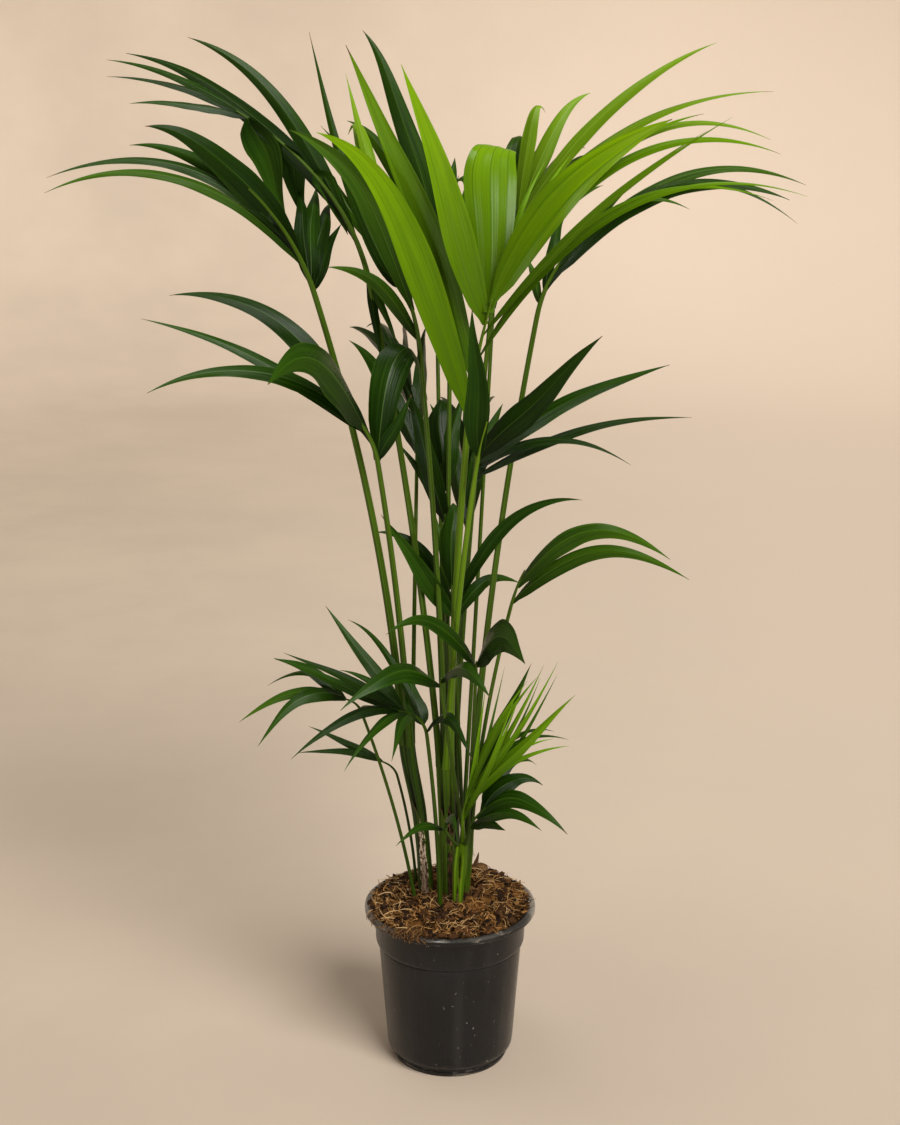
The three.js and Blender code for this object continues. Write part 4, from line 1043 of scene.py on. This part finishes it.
def add_collar(draft, stem, chance, side, tall, wrap, number, finish):
    """A thin old sheath that clasps part of the stem, with a ragged top edge that stands a little away."""
    rows, columns = COLLAR_ROWS, COLLAR_ROWS
    ragged_sides = np.convolve(chance.uniform(0.55, 1.15, rows + 2), [0.25, 0.5, 0.25], mode="valid")
    ragged = np.pad(chance.uniform(-1, 1, columns), 2, mode="edge")
    ragged = np.convolve(ragged, [0.1, 0.3, 0.4, 0.2, 0], mode="valid")
    tear = 0.16 if finish else 0.04
    edge = tall * (0.62 + 0.38 * np.cos(np.linspace(-1.4, 1.4, columns))) + ragged * tall * tear
    share = np.linspace(0, 1, rows)[:, None]
    places = np.linspace(-1, 1, columns)
    reach_round = wrap * (ragged_sides if finish else np.ones(rows))[:, None]
    turns = math.radians(side) + reach_round * places
    heights = stem.foot[2] - 12 + (edge + 12) * share
    rise = share_of_stem(stem, heights)
    foot_radius, top_radius = stem.radii
    base = blend(foot_radius * (STEM_FOOT_FLARE - 0.1), top_radius, smooth(0, 0.5, rise))
    flare = base * (0.97 - 0.12 * smooth(0.5, 1, rise))
    flare = flare + 0.22 * number + 0.7 * share**3 + 0.3 * np.sin(turns * 5 + number) * share
    if finish:
        flare = flare + 0.5 + 0.5 * np.sin(heights * 0.55 + turns * 6) * np.sin(heights * 0.23 + 3 * turns)
    centres = stem_centre(stem, heights)
    outer, inner = around(centres, flare, turns), around(centres, flare - 0.4, turns)
    distance = (heights - stem.foot[2]) * MM
    read = readings(outer, distance, turns / math.pi, foot_radius + 3 * (number + 1), share, np.abs(places))
    rings = np.concatenate([outer, inner[:, ::-1]], axis=1)
    draft.add_rings(rings, np.concatenate([read, read[:, ::-1]], axis=1), finish)


# ---- Petioles and ribs ----


def petiole_points(frond):
    """The three points that a petiole's curve follows, from its foot to its crook."""
    crook = np.array(frond.crook, float)
    foot = np.array(frond.start if frond.start not in STEMS else STEMS[frond.start].top, float)
    if frond.start in STEMS:
        foot += aim(frond.side, 0) * BUNDLE_RADIUS + (0, 0, BUNDLE_LIFT)
    return foot, (foot + crook) / 2 + 2 * np.array([*frond.sway, 0]), crook


def rib_points(frond):
    """The rib goes on from the petiole's tip and curves to the crest."""
    _, middle, crook = petiole_points(frond)
    crest = np.array(frond.crest, float)
    return crook, crook + unit(crook - middle) * np.linalg.norm(crest - crook) / 2, crest


def make_stalk(name, frond, number, finish):
    """A petiole and its rib as one grooved, tapering stalk."""
    lower, _ = bezier(*petiole_points(frond), np.linspace(0, 1, STALK_ROWS))
    upper, _ = bezier(*rib_points(frond), np.linspace(0, 1, RIB_ROWS)[1:])
    points = np.concatenate([lower, upper])
    distance = distances(points)
    ends = [0, distance[STALK_ROWS - 1], distance[-1]]
    radii = np.interp(distance, ends, [*frond.girth, RIB_TIP_RADIUS]) * (1 + 0.32 * np.exp(-distance / 16))
    turns = circle(STALK_SIDES)
    groove = 1 - 0.16 * np.exp(-(((turns - 1) / 0.45) ** 2)) - 0.1 * np.exp(-(((turns - 4) / 0.5) ** 2))
    draft = Draft()
    tube(draft, points, radii, STALK_SIDES, np.array([1.0, 0, 0]), groove, number)
    attach(draft.build("stalk_" + name, [finish], 60), "petiole", "petiole_" + name)


# ---- Blades ----


def leaf_shape(s):
    """A leaflet's width as a share of its widest: narrow at the rib, drawn out at the tip."""
    spread = blend(LEAF_ROOT_WIDTH, 1, np.sin(np.minimum(s / LEAF_WIDEST_AT, 1) * math.pi / 2))
    past = np.clip((s - LEAF_WIDEST_AT) / (1 - LEAF_WIDEST_AT), 0, 1)
    clasp = blend(0.45, 1, smooth(0, 0.09, s))
    return np.maximum(LEAF_TIP_WIDTH, spread * (1 - past**LEAF_TAPER) * clasp)


def leaves_of(fan):
    """A fan's leaflets, each reading the fan's lists at its own place in the run."""
    last = max(fan.leaves - 1, 1)
    return [Leaf(*(along(values, i / last) for values in fan[1:])) for i in range(fan.leaves)]


def finer_leaves(leaf, count):
    """The finer leaflets that one of the frame's is split into, side by side within its width."""
    if count == 1:
        return [leaf]
    finer = []
    for place in np.linspace(-1, 1, count):
        turn = math.degrees(place * SPLIT_SPREAD * leaf.width / leaf.length)
        heading, rise = leaf.heading + 2 * turn, leaf.rise + turn
        length, width = leaf.length * (1 - 0.1 * (place > 0)), leaf.width * SPLIT_WIDTH
        finer.append(leaf._replace(heading=heading, rise=rise, length=length, width=width))
    return finer


def add_blade(draft, root, leaf, frond, number, chance):
    """One leaflet: a thin closed strap, folded along its midrib, that arches from the rib to its tip."""
    tip = root + aim(leaf.heading, leaf.rise) * leaf.length
    middle = root + (tip - root) * LEAF_BOW_AT
    middle[2] += leaf.bow
    rows = int(np.clip(leaf.length / ROW_LENGTH, 16, BLADE_ROWS))
    s = np.linspace(0, 1, rows) ** 0.92
    points, tangents = bezier(root, middle, tip, s)
    sideways = aim(leaf.heading + 90, 0)
    _, (tangent,) = bezier(root, middle, tip, [LEAF_WIDEST_AT])
    facing = aim(frond.face, leaf.tilt)
    roll = math.atan(facing @ sideways / (facing @ np.cross(tangent, sideways)))
    turn = roll * (1 - LEAF_TWIST * s) + chance.uniform(-0.5, 0.5) * s**2
    outward = np.cross(tangents, sideways) * np.cos(turn)[:, None] + sideways * np.sin(turn)[:, None]
    across = np.cross(tangents, outward)
    half = leaf.width * leaf_shape(s) / 2
    sway = leaf.width * 0.1 * np.sin(math.pi * s) * np.sin(s * chance.uniform(4, 7) + chance.uniform(0, 6))
    points = points + across * sway[:, None]
    ridges = max(1, round(leaf.width / frond.pleat))
    places = np.array([-place for place in HALF_BLADE[::-1]] + [0, *HALF_BLADE])
    if ridges > 1:
        places = np.linspace(-1, 1, 12 * ridges + 1)
    climb = places * ridges + ridges - 1
    ridge = np.abs(climb - 2 * np.round(climb / 2))
    fold = frond.fold * (1 + 0.9 * (1 - smooth(0, 0.25, s))) * chance.uniform(0.8, 1.25)
    waves = chance.uniform(2.5, 5)
    phase = chance.uniform(0, 6)
    down = s[:, None]
    ripple = 0.05 * np.sin(2 * math.pi * waves * down + phase + places * 1.5) * places**2
    drop = fold[:, None] * (np.sqrt(ridge**2 + 0.0016) - 0.04) / ridges + 0.07 * places**2 + ripple
    keel = np.exp(-((ridge / 0.1) ** 2)) * (1 - down)
    spread = places[:, None] * across[:, None] - drop[..., None] * outward[:, None]
    upper = points[:, None] + half[:, None, None] * spread + 0.22 * keel[..., None] * outward[:, None]
    depth = BLADE_THICKNESS * (1 - 0.45 * np.abs(places)) * (1 - 0.5 * down)
    depth = depth + 0.75 * keel * np.minimum(1, half[:, None] / 4)
    lower = upper - depth[..., None] * outward[:, None]
    rings = np.concatenate([upper, lower[:, -2:0:-1]], axis=1)
    columns, valleys = (np.concatenate([row, row[-2:0:-1]]) for row in (places, ridge))
    length = distances(points)[:, None] * MM
    read = readings(rings, length, columns, number, down, valleys, chance.uniform(0, 1))
    tone = 2 * (number % len(frond.tones.split()))
    draft.add_rings(rings, read, tone + (np.arange(len(columns)) >= len(places) - 1))


def make_leaves(name, frond, number, finishes):
    """All of one frond's leaflets as one piece."""
    chance = np.random.default_rng(100 + number)
    draft = Draft()
    for i, leaf in enumerate(leaf for fan in frond.fans for leaf in leaves_of(fan)):
        place = np.clip(leaf.at, RIB_FIRST_LEAF, RIB_LAST_LEAF)
        (root,), _ = bezier(*rib_points(frond), [place])
        for finer in finer_leaves(leaf, frond.splits[i % len(frond.splits)]):
            add_blade(draft, root, finer, frond, i, chance)
    both_sides = [finish for tone in frond.tones.split() for finish in finishes[tone]]
    leaves = draft.build("leaves_" + name, both_sides, 70)
    attach(leaves, "young_leaf" if name in YOUNG_FRONDS else "leaf", "frond_" + name)


# ---- Stage ----


def make_backdrop(finish):
    """A pale floor that curves up into a wall far away on every side, open above."""
    flat = BACKDROP_RADIUS - BACKDROP_BEND
    bend = [
        (flat + BACKDROP_BEND * math.sin(a), BACKDROP_BEND * (1 - math.cos(a)))
        for a in np.linspace(0, math.pi / 2, 16)
    ]
    section = [(20, 0), (1000, 0), (3000, 0), *bend, (BACKDROP_RADIUS, BACKDROP_HEIGHT)]
    draft = Draft()
    draft.add_rings(turned(section, BACKDROP_SIDES), outward=False, last_cap=False)
    backdrop = draft.build("backdrop", [finish])


def add_light(name, kind, place, target, watts, colour, **settings):
    lamp = bpy.data.lights.new(name, kind)
    lamp.energy = watts
    lamp.color = colour
    if kind == "AREA":
        lamp.shape = "DISK"
    for key, value in settings.items():
        setattr(lamp, key, value)
    lit = bpy.data.objects.new(name, lamp)
    lit.location = place
    x, y, z = np.array(target) - place
    lit.rotation_euler = (math.atan2(math.hypot(x, y), -z), 0, math.atan2(y, x) - math.pi / 2)
    link(lit)


def set_stage():
    scene = bpy.context.scene
    make_backdrop(backdrop_finish())
    world = bpy.data.worlds.new("soft_daylight")
    world.use_nodes = True
    sky = world.node_tree.nodes["Background"]
    sky.inputs["Color"].default_value = (1, 0.91, 0.78, 1)
    sky.inputs["Strength"].default_value = 0.22
    scene.world = world
    middle = (0, 0, 0.6)
    beam = math.radians(80)
    add_light("key", "SUN", (2.5, -3.6, 4.2), middle, 3.6, (1, 0.97, 0.93), angle=math.radians(34))
    add_light("fill", "AREA", (-0.75, -3.2, 0.4), middle, 4.6, (1, 0.98, 0.96), size=0.5, spread=beam)
    add_light("top", "AREA", (-0.6, 0.1, 3.6), middle, 22, (1, 0.98, 0.95), size=1.2)
    camera = bpy.data.cameras.new("front_view")
    camera.lens = 56.64
    camera.sensor_width = 36
    camera.clip_end = 40
    seen_from = bpy.data.objects.new("front_view", camera)
    seen_from.location = (0, -2, 1.169)
    seen_from.rotation_euler = (math.radians(75), 0, 0)
    link(seen_from)
    scene.camera = seen_from
    scene.view_settings.view_transform = "Standard"


# ---- The whole plant ----

make_pot(pot_finish())
soil_bed = make_soil(soil_finish())
make_litter(soil_bed, litter_tree())
make_spill(litter_finish("spilled_fibres", *SPILL_SHADES))
dry_finishes = [papery_finish("dead_brown", *DEAD_BROWN), papery_finish("torn_paper", *TORN_PAPER)]
make_debris(papery_finish("dry_husk", *DRY_HUSK))
sheath_finishes = {tone: sheath_finish(tone) for tone in SHEATH_COLOURS}
for number, (name, stem) in enumerate(STEMS.items()):
    green = sheath_finishes[STEM_GREENS[name]]
    make_sheath(name, stem, [green, *dry_finishes], np.random.default_rng(40 + number))
stalk_finishes = [stalk_finish(tone) for tone in STALK_COLOURS]
leaf_finishes = {tone: [leaf_finish(side, tone) for side in LEAF_SIDES] for tone in LEAF_COLOURS["leaf"]}
for number, (name, frond) in enumerate(FRONDS.items()):
    make_stalk(name, frond, number, stalk_finishes[name in YOUNG_AND_LIT_STALKS])
    make_leaves(name, frond, number, leaf_finishes)
set_stage()
